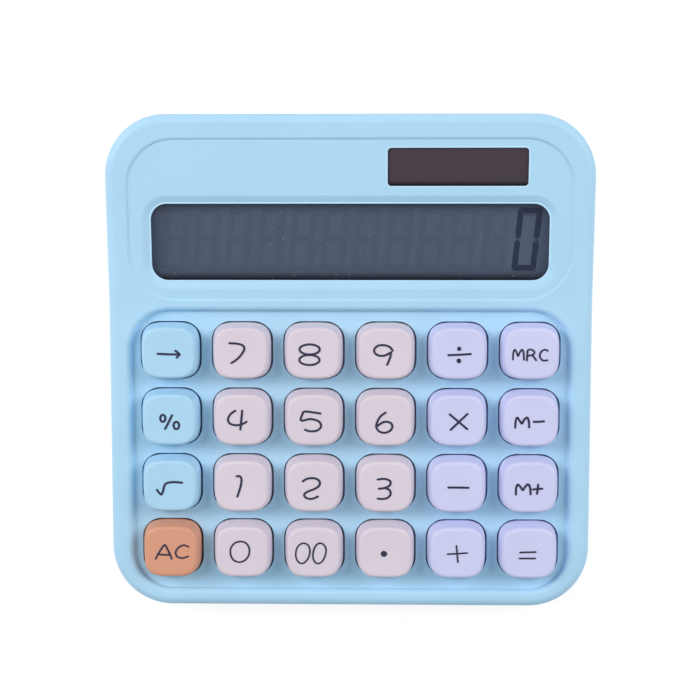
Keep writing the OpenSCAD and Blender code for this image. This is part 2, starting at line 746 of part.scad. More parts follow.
module case_screws() color(metal_c) for (p = case_screw_at)
    translate([p.x, p.y, seat_z]) screw(screw_d/2, screw_l, head_r, head_h);

module board_screws() color(metal_c) tray_plane() for (p = board_screw_at)
    translate([p.x, p.y, board_z - board_t]) screw(board_screw_r, board_screw_l, small_head_r, small_head_h);

module lcd_screws() color(metal_c) view_plane() for (x = [-1, 1], v = [-1, 1])
    translate([x*ear_x, lcd_v + v*ear_v, frame_z - 1]) screw(board_screw_r, lcd_screw_l, small_head_r, small_head_h);

module foot(x, y) color(rubber_c) translate([x, y, 0]) {
    cylinder(r1 = foot_d/2 - 0.4, r2 = foot_d/2, h = 0.4);
    translate([0, 0, 0.4 - eps]) cylinder(r = foot_d/2, h = foot_h + foot_sink - 0.4 - 0.02);
}

front_case();
rear_case();
battery_door();
display_window();
solar_window();
solar_cell();
lcd_panel();
lcd_frame();
lcd_ribbon();
lcd_screws();
main_board();
chip_blob();
capacitor();
key_mat();
key_cap(0, 0, blue_c);  // key_arrow
key_cap(1, 0, pink_c);  // key_7
key_cap(2, 0, pink_c);  // key_8
key_cap(3, 0, pink_c);  // key_9
key_cap(4, 0, lilac_c);  // key_divide
key_cap(5, 0, lilac_c);  // key_recall
key_cap(0, 1, blue_c);  // key_percent
key_cap(1, 1, pink_c);  // key_4
key_cap(2, 1, pink_c);  // key_5
key_cap(3, 1, pink_c);  // key_6
key_cap(4, 1, lilac_c);  // key_times
key_cap(5, 1, lilac_c);  // key_memory_minus
key_cap(0, 2, blue_c);  // key_root
key_cap(1, 2, pink_c);  // key_1
key_cap(2, 2, pink_c);  // key_2
key_cap(3, 2, pink_c);  // key_3
key_cap(4, 2, lilac_c);  // key_minus
key_cap(5, 2, lilac_c);  // key_memory_plus
key_cap(0, 3, orange_c);  // key_clear
key_cap(1, 3, pink_c);  // key_0
key_cap(2, 3, pink_c);  // key_00
key_cap(3, 3, pink_c);  // key_point
key_cap(4, 3, lilac_c);  // key_plus
key_cap(5, 3, lilac_c);  // key_equals
battery_cell();
contact_minus();
contact_plus();
cell_lead(-1, black_c);  // cell_lead_minus
cell_lead(1, red_c);  // cell_lead_plus
solar_lead(-1, black_c);  // solar_lead_minus
solar_lead(1, red_c);  // solar_lead_plus
case_screws();
board_screws();
foot(-foot_x, foot_front);  // foot_front_left
foot(foot_x, foot_front);  // foot_front_right
foot(-foot_x, foot_back);  // foot_back_left
foot(foot_x, foot_back);  // foot_back_right
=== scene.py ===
import json
import math

import bmesh
import bpy
from mathutils import Matrix, Vector

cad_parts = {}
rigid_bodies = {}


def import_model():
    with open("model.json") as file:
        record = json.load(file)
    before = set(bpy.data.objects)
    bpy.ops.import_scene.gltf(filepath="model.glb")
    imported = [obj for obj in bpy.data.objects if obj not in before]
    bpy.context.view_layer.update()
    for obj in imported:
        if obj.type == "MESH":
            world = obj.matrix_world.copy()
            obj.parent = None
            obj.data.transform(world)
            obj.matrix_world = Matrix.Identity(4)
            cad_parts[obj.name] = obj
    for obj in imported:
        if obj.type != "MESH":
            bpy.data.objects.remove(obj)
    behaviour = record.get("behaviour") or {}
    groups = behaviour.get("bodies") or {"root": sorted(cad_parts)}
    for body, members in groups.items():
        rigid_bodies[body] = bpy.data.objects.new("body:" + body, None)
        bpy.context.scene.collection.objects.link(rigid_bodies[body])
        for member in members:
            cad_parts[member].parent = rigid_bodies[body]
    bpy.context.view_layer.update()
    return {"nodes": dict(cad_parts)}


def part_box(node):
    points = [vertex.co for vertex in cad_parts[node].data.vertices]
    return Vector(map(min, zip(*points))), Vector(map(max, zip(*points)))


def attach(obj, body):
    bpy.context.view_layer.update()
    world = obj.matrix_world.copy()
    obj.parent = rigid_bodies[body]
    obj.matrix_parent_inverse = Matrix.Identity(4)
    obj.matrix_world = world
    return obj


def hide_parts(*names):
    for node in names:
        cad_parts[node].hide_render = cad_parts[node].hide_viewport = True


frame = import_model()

MM = 0.001

# ---- sizes, in millimetres, as in the part's source ----
BODY_D = 152.0
KEY_SLOPE, VIEW_SLOPE = math.radians(6.0), math.radians(11.6)
BEND_Y = BODY_D / 2 - 57.6
BEND_Z = 16.0 + (BEND_Y + BODY_D / 2) * math.tan(KEY_SLOPE)
PITCH_X, PITCH_V = 22.37, 20.8
FIRST_ROW_V = -14.26
KEY_W, KEY_L, KEY_H = 18.5, 17.4, 5.8
KEY_WALL, KEY_FLANGE, STEM_R = 1.2, 0.9, 2.5
SKIRT_END, FLANGE_END, STEM_END = -3.4, -4.4, -4.5
LENS_TOP, LENS_T = -2.42, 1.2
GLASS_TOP = -4.5
BOARD_Z, SHEET_Z, CROWN_Z, CROWN_T = -7.9, -7.1, -4.7, 0.6
CASE_SCREWS_AT = ((44.74, -70.4), (69, 17), (62, 64.5))
FRAME_SCREWS_AT = (69.1, 9.0)
CASE_SCREW_Z, BOARD_SCREW_W, FRAME_SCREW_W = 3.4, -9.5, -7.75    # where the heads sit

# windows, tray and recess: middle across and along, width, length, corner radius
TRAY_DEPTH = 2.4
TRAY = (0.0, -45.86, 136.4, 87.92, 12.2)
RECESS = (0.0, 26.25, 135.4, 48.30, 14.0)
DISPLAY = (0.0, 19.3, 122.6, 23.7, 5.0)
LIGHT = (33.0, 42.3, 42.9, 11.6, 1.2)

# ---- sizes of the finish ----
KEY_LEAN = (0.2, 0.26, 0.05)  # how the sides, the back and the front of a key lean in
KEY_ROUND = 1.0
KEY_BOW = 3.6                 # squareness of the key outline
KEY_POINTS = 96               # points round a key
KEY_FOOT = 0.3                # height at which the sides of a key start to lean
SKIRT_IN = 0.13               # step from the sides of a key to its skirt
KEY_GIVE = 0.22               # how much wider the gap is on the right of a key
LEGEND_WIDTH = 0.65
RECESS_SHOWN, LIP_SHOWN = -0.5, -1.45   # finished floor of the recess and lip of the display
DISH = 2.7                    # width of the dish round the display
CREASE = 34                   # degrees over which an edge of a piece stays a crease


def on_slope(slope, x, v, w):
    """A point x across, v along and w above a plane through the bend, in the frame."""
    c, s = math.cos(slope), math.sin(slope)
    return Vector((x, BEND_Y + v * c - w * s, BEND_Z + v * s + w * c)) * MM


def on_keypad(x, v, w):
    return on_slope(KEY_SLOPE, x, v, w)


def on_display(x, v, w):
    return on_slope(VIEW_SLOPE, x, v, w)


def key_place(col, row):
    return (col - 2.5) * PITCH_X, FIRST_ROW_V - row * PITCH_V


BOARD_SCREWS_AT = [(x * PITCH_X, FIRST_ROW_V - (k + 0.5) * PITCH_V) for x in (-2, 0, 2) for k in (0, 2)]


# ---- node trees and materials ----

class Nodes:
    """Short ways to add and join the nodes of a tree."""

    def __init__(self, tree):
        self.tree = tree

    def feed(self, value, into):
        """Joins an output to a socket, or sets the socket to a plain value."""
        if isinstance(value, bpy.types.NodeSocket):
            self.tree.links.new(value, into)
        else:
            into.default_value = value

    def add(self, kind, sockets=None, **settings):
        node = self.tree.nodes.new(kind)
        for key, value in settings.items():
            setattr(node, key, value)
        for key, value in (sockets or {}).items():
            self.feed(value, node.inputs[key])
        return node

    def maths(self, operation, a, b=0.0):
        return self.add("ShaderNodeMath", {0: a, 1: b}, operation=operation).outputs[0]


def srgb(r, g, b):
    """Linear colour of a paint chip given in 0-255 steps."""
    return tuple(c / 12.92 if c <= 0.04045 else ((c + 0.055) / 1.055) ** 2.4
                 for c in (r / 255, g / 255, b / 255)) + (1.0,)


class Paint(Nodes):
    """A node material with the surface shader ready."""

    def __init__(self, name, colour, roughness=0.5, metallic=0.0):
        self.mat = bpy.data.materials.new(name)
        self.mat.use_nodes = True
        super().__init__(self.mat.node_tree)
        self.shader = self.tree.nodes["Principled BSDF"]
        self.dress(Base_Color=colour, Roughness=roughness, Metallic=metallic)
        self.mat.diffuse_color = colour
        self.place = self.add("ShaderNodeTexCoord").outputs["Object"]
        self.colour = colour

    def dress(self, **inputs):
        """Joins or sets inputs of the surface shader."""
        for key, value in inputs.items():
            self.feed(value, self.shader.inputs[key.replace("_", " ")])

    def noise(self, size_mm, detail=2.0, rough=0.5, place=None):
        return self.add("ShaderNodeTexNoise", {
            "Scale": 1.0 / (size_mm * MM), "Detail": detail, "Roughness": rough,
            "Vector": place or self.place}).outputs["Fac"]

    def spread(self, fac, lo, hi, start=0.0, end=1.0):
        """fac between start and end, turned into a number between lo and hi."""
        return self.add("ShaderNodeMapRange", {
            "Value": fac, "From Min": start, "From Max": end, "To Min": lo, "To Max": hi}).outputs["Result"]

    def clouds(self, fac, lo=0.0, hi=1.0):
        """The middle of a noise, spread from lo to hi."""
        return self.spread(fac, lo, hi, 0.3, 0.7)

    def between(self, fac, a, b):
        """Colour between a and b."""
        return self.add("ShaderNodeMix", {0: fac, 6: a, 7: b}, data_type="RGBA").outputs[2]

    def shade(self, share):
        return tuple(min(1.0, c * share) for c in self.colour[:3]) + (1.0,)

    def tinted(self, fac, spread=0.03):
        """The base colour, a little lighter and darker with fac."""
        self.dress(Base_Color=self.between(fac, self.shade(1 - spread), self.shade(1 + spread)))

    def bump(self, height, depth_mm, strength=0.5):
        node = self.add("ShaderNodeBump", {"Strength": strength, "Distance": depth_mm * MM,
                                           "Height": height})
        self.dress(Normal=node.outputs["Normal"])


def moulded(name, colour, roughness=0.5, grain=0.22, depth=0.012):
    """Matt moulded plastic: spark-eroded grain, faint flow of the tint, uneven sheen."""
    p = Paint(name, colour, roughness)
    p.tinted(p.clouds(p.noise(26, 3.0)), 0.018)
    p.dress(Roughness=p.clouds(p.noise(3.0, 4.0), roughness - 0.06, roughness + 0.07),
            Specular_IOR_Level=0.35)
    p.bump(p.noise(grain, 3.0, 0.6), depth, 0.45)
    return p.mat


def metal(name, colour, roughness):
    """Bare metal with fine marks and dull patches."""
    p = Paint(name, colour, roughness, 1.0)
    marks = p.noise(0.4, 3.0, 0.6)
    p.tinted(p.noise(4.0), 0.08)
    p.dress(Roughness=p.clouds(marks, roughness - 0.08, roughness + 0.12))
    p.bump(marks, 0.01, 0.3)
    return p.mat


def striped(name, colour, line, period_mm, share, roughness):
    """Film or wafer with even printed lines across it."""
    p = Paint(name, colour, roughness)
    across = p.add("ShaderNodeSeparateXYZ", {0: p.place}).outputs[0]
    part = p.maths("FRACT", p.maths("DIVIDE", across, period_mm * MM))
    mask = p.spread(part, 0.0, 1.0, share - 0.04, share)
    cloud = p.between(p.noise(5.0, 3.0), colour, p.shade(0.85))
    p.dress(Base_Color=p.between(mask, line, cloud))
    p.bump(mask, 0.02, 0.4)
    return p.mat


SHELL = moulded("shell_abs", srgb(172, 214, 241), 0.5)
BASE = moulded("base_abs", srgb(164, 206, 234), 0.52)
KEY_PAINTS = {tint: moulded(f"key_{tint}_abs", srgb(*chip), 0.48, 0.18) for tint, chip in (
    ("blue", (170, 212, 239)), ("pink", (216, 205, 217)), ("lilac", (204, 206, 240)),
    ("orange", (216, 154, 126)))}
# lighter than the shell: a painted highlight along the edges of the windows
LIP_HIGHLIGHT = moulded("window_lip_abs", srgb(190, 229, 253), 0.45, 0.3, 0.004)
INK = moulded("legend_ink", srgb(44, 44, 72), 0.45, 0.12, 0.006)
STEEL = metal("screw_steel_plated", (0.55, 0.55, 0.57, 1), 0.32)


# ---- making pieces ----

def link(name, data):
    obj = bpy.data.objects.new(name, data)
    bpy.context.scene.collection.objects.link(obj)
    return obj


def tidy_normals(mesh, angle, merge=1e-7, turn=True):
    """Merges doubles, points the faces outwards and keeps creases over the angle."""
    bm = bmesh.new()
    bm.from_mesh(mesh)
    bmesh.ops.remove_doubles(bm, verts=bm.verts, dist=merge)
    if turn:
        bmesh.ops.recalc_face_normals(bm, faces=bm.faces)
    for f in bm.faces:
        f.smooth = True
    limit = math.radians(angle)
    for e in bm.edges:
        e.smooth = e.is_manifold and e.calc_face_angle(0.0) < limit
    bm.to_mesh(mesh)
    bm.free()


def seat(obj, body, stands_for=()):
    """Puts a finished piece on its body and in place of its nodes."""
    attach(obj, body)
    if stands_for:
        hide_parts(*stands_for)


def piece(name, verts, faces, paint, body, slot=None, stands_for=(), angle=CREASE):
    mesh = bpy.data.meshes.new(name)
    mesh.from_pydata([tuple(v) for v in verts], [], faces)
    tidy_normals(mesh, angle)
    mesh.materials.append(paint)
    seat(link(name, mesh), body, stands_for)


def smooth_copy(name, node, paint, body, angle=30):
    """The solid of a node with merged corners and even shading round its roundings."""
    mesh = frame["nodes"][node].data.copy()
    mesh.name = name
    tidy_normals(mesh, angle, 2e-6, turn=False)
    mesh.materials.clear()
    mesh.materials.append(paint)
    obj = link(name, mesh)
    even = obj.modifiers.new("even_shading", "WEIGHTED_NORMAL")
    even.keep_sharp = True
    even.mode = "FACE_AREA_WITH_ANGLE"
    seat(obj, body, (node,))


def sweep_faces(n, m, closed=False):
    """Faces between n sections of m points each, carried round until they meet."""
    return [(i * m + k, (i + 1) % n * m + k, (i + 1) % n * m + (k + 1) % m, i * m + (k + 1) % m)
            for i in range(n) for k in range(m if closed else m - 1)]


def stack_faces(count, n):
    """Faces between a stack of rings of n points each."""
    return [(k * n + i, k * n + (i + 1) % n, (k + 1) * n + (i + 1) % n, (k + 1) * n + i)
            for k in range(count - 1) for i in range(n)]


def turned(profile, place, count=48):
    """Closed solid of revolution from (radius, height) points, placed by place(x, y, z)."""
    turns = [2 * math.pi * i / count for i in range(count)]
    verts = [place(q * math.cos(a), q * math.sin(a), z) for a in turns for q, z in profile]
    return verts, sweep_faces(count, len(profile))


def corner_points(w, l, r, count):
    """Centre and direction of each point on the corners of a rounded rectangle."""
    for sx, sy, start in ((1, 1, 0), (-1, 1, 90), (-1, -1, 180), (1, -1, 270)):
        for k in range(count + 1):
            a = math.radians(start + 90 * k / count)
            yield sx * (w / 2 - r), sy * (l / 2 - r), math.cos(a), math.sin(a)


def ring_round(place, x0, v0, w, l, r, section, count=12):
    """Closed section of (offset inwards, height) points carried round a rounded rectangle."""
    verts = [place(x0 + x + (r - inset) * c, v0 + v + (r - inset) * s, z)
             for x, v, c, s in corner_points(w, l, r, count) for inset, z in section]
    return verts, sweep_faces(4 * (count + 1), len(section), closed=True)


def rounded_stack(place, x0, v0, w, l, r, rings, count=10):
    """Solid with round corners, from (outset, height) rings listed upwards."""
    verts = [place(x0 + x + (r + outset) * c, v0 + v + (r + outset) * s, z)
             for outset, z in rings for x, v, c, s in corner_points(w, l, r, count)]
    n = 4 * (count + 1)
    ends = [tuple(reversed(range(n))), tuple(range((len(rings) - 1) * n, len(rings) * n))]
    return verts, stack_faces(len(rings), n) + ends


def rounded_rim(outset, top, edge):
    """Rings of a small rounding that ends a slab at its top."""
    return [(outset - edge * (1 - math.cos(a)), top - edge + edge * math.sin(a))
            for a in (math.radians(30 * k) for k in range(4))]


# ---- rules for what repeats or winds ----

def titled(name):
    """Label of a named size in a rule's tree."""
    return name.replace("_", " ").capitalize()


class Rule(Nodes):
    """A Geometry Nodes tree with named sizes, grown on a start mesh and baked to a piece."""

    def __init__(self, name, **sizes):
        super().__init__(bpy.data.node_groups.new(name, "GeometryNodeTree"))
        self.ids = {}
        self.socket("Geometry", "INPUT", "NodeSocketGeometry")
        for label, value in sizes.items():
            kind = ("NodeSocketInt" if isinstance(value, int) else
                    "NodeSocketVector" if isinstance(value, tuple) else "NodeSocketFloat")
            sock = self.socket(titled(label), "INPUT", kind)
            sock.default_value = value
            self.ids[label] = sock.identifier
        self.socket("Geometry", "OUTPUT", "NodeSocketGeometry")
        self.given = self.tree.nodes.new("NodeGroupInput")
        self.result = self.tree.nodes.new("NodeGroupOutput")

    def socket(self, label, way, kind):
        return self.tree.interface.new_socket(label, in_out=way, socket_type=kind)

    def size(self, label):
        return self.given.outputs[titled(label)]

    def times(self, value, factor):
        return self.maths("MULTIPLY", value, factor)

    def vector(self, x=0.0, y=0.0, z=0.0):
        return self.add("ShaderNodeCombineXYZ", {"X": x, "Y": y, "Z": z}).outputs[0]

    def moved(self, node, **how):
        """What a node makes, with its Translation, Rotation or Scale."""
        return self.add("GeometryNodeTransform", {"Geometry": node.outputs[0], **how})

    def repeated(self, node, instance, **how):
        """An instance on every point that a node makes."""
        return self.add("GeometryNodeInstanceOnPoints", {"Points": node.outputs[0],
                                                         "Instance": instance, **how})

    def wound(self, wire_radius, sides, spiral):
        """Round wire wound along a spiral."""
        helix = self.add("GeometryNodeCurveSpiral", spiral)
        wire = self.add("GeometryNodeCurvePrimitiveCircle",
                        {"Resolution": sides, "Radius": wire_radius}, mode="RADIUS")
        return self.add("GeometryNodeCurveToMesh", {"Curve": helix.outputs[0], "Fill Caps": True,
                                                    "Profile Curve": wire.outputs[0]})

    def joined(self, *parts):
        node = self.tree.nodes.new("GeometryNodeJoinGeometry")
        for part in parts:
            self.feed(part, node.inputs[0])
        return node.outputs[0]

    def close(self, geometry, paint):
        """Realizes the instances, gives them their material and ends the tree."""
        real = self.add("GeometryNodeRealizeInstances", {"Geometry": geometry})
        dressed = self.add("GeometryNodeSetMaterial", {"Geometry": real.outputs[0], "Material": paint})
        self.feed(dressed.outputs[0], self.result.inputs[0])

    def grow(self, name, verts, faces, body, slot, stands_for=(), edges=(), **sizes):
        """Runs the rule on a start mesh and bakes the result to a plain piece."""
        start = bpy.data.meshes.new(name + "_start")
        start.from_pydata([tuple(v) for v in verts], list(edges), faces)
        obj = link(name + "_start", start)
        mod = obj.modifiers.new("rule", "NODES")
        mod.node_group = self.tree
        for label, value in sizes.items():
            mod[self.ids[label]] = value
        bpy.context.view_layer.update()
        graph = bpy.context.evaluated_depsgraph_get()
        mesh = bpy.data.meshes.new_from_object(obj.evaluated_get(graph))
        mesh.name = name
        obj.modifiers.remove(mod)
        bpy.data.objects.remove(obj)
        tidy_normals(mesh, CREASE)
        seat(link(name, mesh), body, stands_for)


def screw_rule():
    """A pan-head screw with a cross recess and a cut thread on every start point."""
    r = Rule("screws", head_radius=0.0025, head_height=0.0016, shank_radius=0.0013,
             shank_length=0.008, thread_pitch=0.0009, thread_depth=0.00016, lean=(0.0, 0.0, 0.0))
    head_radius, head_height = r.size("head_radius"), r.size("head_height")
    shank_radius, shank_length = r.size("shank_radius"), r.size("shank_length")
    tip_length, thread_start = 0.0008, 0.0003

    disc = r.add("GeometryNodeMeshCylinder", {"Vertices": 40, "Radius": head_radius,
                                              "Depth": head_height})
    disc = r.moved(disc, Translation=r.vector(z=r.times(head_height, -0.5)))
    crown = r.add("GeometryNodeMeshUVSphere", {"Segments": 40, "Rings": 20, "Radius": 1.0})
    wide = r.times(head_radius, 1.06)
    crown = r.moved(crown, Scale=r.vector(wide, wide, head_height))
    pan = r.add("GeometryNodeMeshBoolean", operation="INTERSECT")
    for part in (disc, crown):
        r.feed(part.outputs[0], pan.inputs[1])

    long, thin = r.times(head_radius, 1.15), r.times(head_radius, 0.28)
    deep, down = r.times(head_height, 1.1), r.times(head_height, -1.05)
    head = r.add("GeometryNodeMeshBoolean", {"Mesh 1": pan.outputs[0]}, operation="DIFFERENCE")
    for x, y in ((thin, long), (long, thin)):
        arm = r.moved(r.add("GeometryNodeMeshCube", {"Size": r.vector(x, y, deep)}),
                      Translation=r.vector(z=down))
        r.feed(arm.outputs[0], head.inputs["Mesh 2"])

    straight = r.maths("SUBTRACT", shank_length, tip_length)
    shank = r.add("GeometryNodeMeshCylinder", {"Vertices": 28, "Radius": shank_radius,
                                               "Depth": straight})
    shank = r.moved(shank, Translation=r.vector(z=r.times(straight, 0.5)))
    tip = r.add("GeometryNodeMeshCone", {"Vertices": 28, "Radius Top": r.times(shank_radius, 0.55),
                                         "Radius Bottom": shank_radius, "Depth": tip_length})
    tip = r.moved(tip, Translation=r.vector(z=straight))
    run = r.times(shank_length, 0.84)
    thread = r.wound(r.size("thread_depth"), 4, {
        "Resolution": 20, "Rotations": r.maths("DIVIDE", run, r.size("thread_pitch")), "Height": run,
        "Start Radius": shank_radius, "End Radius": shank_radius})
    thread = r.moved(thread, Translation=(0.0, 0.0, thread_start))

    whole = r.joined(*(part.outputs[0] for part in (head, shank, tip, thread)))
    points = r.add("GeometryNodeMeshToPoints", {"Mesh": r.size("geometry")})
    r.close(r.repeated(points, whole, Rotation=r.size("lean")).outputs[0], STEEL)
    return r


def screws():
    """Case screws, and the smaller ones of the board and of the display frame."""
    rule = screw_rule()
    small = {"head_radius": 0.0019, "head_height": 0.0012, "shank_radius": 0.001,
             "thread_pitch": 0.0007, "thread_depth": 0.00012}
    half_x, half_v = FRAME_SCREWS_AT
    at_case = [Vector((side * x, y, CASE_SCREW_Z)) * MM for x, y in CASE_SCREWS_AT for side in (-1, 1)]
    at_board = [on_keypad(x, v, BOARD_SCREW_W - TRAY_DEPTH) for x, v in BOARD_SCREWS_AT]
    at_frame = [on_display(x, DISPLAY[1] + v, FRAME_SCREW_W) for x in (-half_x, half_x)
                for v in (-half_v, half_v)]
    for name, node, places, slope, sizes in (
            ("case_screw_set", "case_screws", at_case, 0.0, {}),
            ("board_screw_set", "board_screws", at_board, KEY_SLOPE, {"shank_length": 0.007, **small}),
            ("display_screw_set", "lcd_screws", at_frame, VIEW_SLOPE, {"shank_length": 0.005, **small})):
        rule.grow(name, places, [], "case", "screw_steel", (node,), lean=(slope, 0.0, 0.0), **sizes)


def plate_rule(name, paint):
    """A flat plate between closed outlines given in millimetres, laid on a sloping plane."""
    r = Rule(name, thickness=0.8, unit=MM, lean=(0.0, 0.0, 0.0), middle=(0.0, 0.0, 0.0))
    lines = r.add("GeometryNodeMeshToCurve", {"Mesh": r.size("geometry")})
    face = r.add("GeometryNodeFillCurve", {"Curve": lines.outputs[0]})
    back = r.add("GeometryNodeFlipFaces", {"Mesh": face.outputs[0]})
    raised = r.add("GeometryNodeExtrudeMesh", {
        "Mesh": face.outputs[0], "Offset": r.vector(z=r.size("thickness")), "Offset Scale": 1.0,
        "Individual": False}, mode="FACES")
    shut = r.add("GeometryNodeMergeByDistance", {
        "Geometry": r.joined(raised.outputs[0], back.outputs[0]), "Distance": 0.001})
    unit = r.size("unit")
    laid = r.moved(shut, Rotation=r.size("lean"), Translation=r.size("middle"),
                   Scale=r.vector(unit, unit, unit))
    r.close(laid.outputs[0], paint)
    return r


def round_outline(x0, v0, w, l, r, grow=0.0):
    """Outline of a rounded rectangle, widened all round by grow."""
    points = corner_points(w + 2 * grow, l + 2 * grow, r + grow, 12)
    return [(x0 + x + (r + grow) * c, v0 + v + (r + grow) * s, 0.0) for x, v, c, s in points]


def hole_outline(x0, v0, r, count):
    turns = [2 * math.pi * k / count for k in range(count)]
    return [(x0 + r * math.cos(a), v0 + r * math.sin(a), 0.0) for a in turns]


def outline_mesh(*outlines):
    verts, edges = [], []
    for outline in outlines:
        n, base = len(outline), len(verts)
        verts += outline
        edges += [(base + i, base + (i + 1) % n) for i in range(n)]
    return verts, edges


# ---- contacts of the cell ----

LEAF_T, DIMPLE_R, DIMPLE_H = 0.0004, 0.002, 0.00025
CELL_Y, CELL_Z = 0.055, 0.00885
LEAF_ROWS, LEAF_COLS = 17, 9


def coil_rule():
    """A tapering wire coil on its contact plate."""
    r = Rule("cell_coil", turns=3.5, start_radius=0.0036, end_radius=0.0027, reach=0.0042,
             wire_radius=0.0003, lean=(0.0, math.pi / 2, 0.0), middle=(0.0, 0.0, 0.0))
    coil = r.wound(r.size("wire_radius"), 12, {
        "Resolution": 36, "Rotations": r.size("turns"), "Height": r.size("reach"),
        "Start Radius": r.size("start_radius"), "End Radius": r.size("end_radius")})
    laid = r.moved(coil, Rotation=r.size("lean"), Translation=r.size("middle"))
    r.close(r.joined(r.size("geometry"), laid.outputs[0]), STEEL)
    return r


def contact_leaf(side):
    """Contact plate of the cell bay; the plus one has a pressed dimple facing the cell."""
    lo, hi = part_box("contact_plus" if side > 0 else "contact_minus")
    x0 = hi.x - LEAF_T if side > 0 else lo.x
    verts = []
    for x in (x0, x0 + LEAF_T):
        for i in range(LEAF_ROWS):
            z = lo.z + (hi.z - lo.z) * i / (LEAF_ROWS - 1)
            for j in range(LEAF_COLS):
                y = lo.y + (hi.y - lo.y) * j / (LEAF_COLS - 1)
                near = math.hypot(y - (lo.y + hi.y) / 2, z - CELL_Z) / DIMPLE_R
                push = DIMPLE_H * max(0.0, 1 - near * near) if side > 0 else 0.0
                verts.append((x - side * push, y, z))
    n, cols = LEAF_ROWS * LEAF_COLS, LEAF_COLS
    faces = []
    for a in (i * cols + j for i in range(LEAF_ROWS - 1) for j in range(cols - 1)):
        faces.append((a, a + cols, a + cols + 1, a + 1))
        faces.append((n + a, n + a + 1, n + a + cols + 1, n + a + cols))
    rim = (list(range(cols)) + list(range(2 * cols - 1, n, cols))
           + list(range(n - 2, n - cols - 1, -1)) + list(range(n - 2 * cols, 0, -cols)))
    faces += [(a, b, n + b, n + a) for a, b in zip(rim, rim[1:] + rim[:1])]
    return verts, faces


def contacts():
    lo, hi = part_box("contact_minus")
    coil_rule().grow("coil_contact", *contact_leaf(-1), "case", "contact_steel", ("contact_minus",),
                     middle=(lo.x + 0.0006, CELL_Y, CELL_Z), reach=hi.x - lo.x - 0.0009)
    piece("plus_contact", *contact_leaf(1), STEEL, "case", "contact_steel", ("contact_plus",))


# ---- keys ----

KEY_NAMES = (("arrow", "7", "8", "9", "divide", "recall"),
             ("percent", "4", "5", "6", "times", "memory_minus"),
             ("root", "1", "2", "3", "minus", "memory_plus"),
             ("clear", "0", "00", "point", "plus", "equals"))
COLUMN_TINTS = ("blue", "pink", "pink", "pink", "lilac", "lilac")
KEYS = [(name, col, row, "orange" if name == "clear" else COLUMN_TINTS[col])
        for row, names in enumerate(KEY_NAMES) for col, name in enumerate(names)]


def key_outline(half_x, half_v, bow):
    """Points of a bowed rounded square."""
    out = []
    for i in range(KEY_POINTS):
        a = 2 * math.pi * (i + 0.5) / KEY_POINTS
        c, s = math.cos(a), math.sin(a)
        reach = (abs(c / half_x) ** bow + abs(s / half_v) ** bow) ** (-1.0 / bow)
        out.append((c * reach, s * reach))
    return out


def key_profile():
    """Rings of a key from the middle of its top, over the skirt and flange, to its stem:
    half width, reach to the back, reach to the front, height over the tray floor, bow."""
    hx, hv, r = KEY_W / 2, KEY_L / 2, KEY_ROUND
    lean = math.atan(KEY_LEAN[0])
    low = KEY_H - r + r * math.sin(lean)          # where the rounded edge meets the sides

    def side(w, out=0.0):
        x, b, f = (half - max(0.0, w - KEY_FOOT) * k for half, k in zip((hx, hv, hv), KEY_LEAN))
        return (x + out, b + out, f + out, w, KEY_BOW)

    flat = [v - r * math.cos(lean) for v in side(low)[:3]]
    rings = [tuple(v * k for v in flat) + (KEY_H - dip, KEY_BOW)
             for k, dip in ((0.25, 0.1), (0.55, 0.07), (0.85, 0.02), (0.97, 0.0))]
    for k in range(7):
        a = math.radians(90) + (lean - math.radians(90)) * k / 6
        rings.append(tuple(v + r * math.cos(a) for v in flat)
                     + (KEY_H - r + r * math.sin(a), KEY_BOW))
    rings += [side(w) for w in (3.2, 1.6, KEY_FOOT)]
    rings += [side(w, -SKIRT_IN) for w in (0.1, 0.0, SKIRT_END + 0.05, SKIRT_END)]
    rings += [side(SKIRT_END, KEY_FLANGE), side(FLANGE_END, KEY_FLANGE)]
    rings += [side(w, -KEY_WALL) for w in (FLANGE_END, 0.0, KEY_H - 1.9)]
    rings += [side(KEY_H - 1.4, -KEY_WALL - 0.5)]
    rings += [(v, v, v, w, 2.0) for v, w in (
        (STEM_R + 0.7, KEY_H - 1.4), (STEM_R, KEY_H - 2.0), (STEM_R, STEM_END + 0.3),
        (STEM_R - 0.3, STEM_END))]
    return rings


def key_mesh(col, row):
    x0, v0 = key_place(col, row)
    rings, n = key_profile(), KEY_POINTS
    verts = []
    for half, back, front, w, bow in rings:
        shift = (back - front) / 2
        give = KEY_GIVE / half if SKIRT_END < w <= KEY_FOOT else 0.0
        for x, v in key_outline(half, (back + front) / 2, bow):
            x -= give * max(0.0, x)
            verts.append(on_keypad(x0 + x, v0 + v + shift, w - TRAY_DEPTH))
    faces = stack_faces(len(rings), n)
    for ring, w in ((0, KEY_H - 0.12), (len(rings) - 1, STEM_END)):
        mid = len(verts)
        verts.append(on_keypad(x0, v0, w - TRAY_DEPTH))
        for i in range(n):
            a, b = ring * n + i, ring * n + (i + 1) % n
            faces.append((mid, a, b) if ring == 0 else (mid, b, a))
    return verts, faces


# ---- legends ----

def pen_ring(x, v, half_x, half_v, count=12):
    """Closed pen stroke: an ellipse that starts at its top and runs to the left."""
    turns = (2 * math.pi * k / count for k in range(count))
    return tuple((x - half_x * math.sin(a), v + half_v * math.cos(a)) for a in turns)


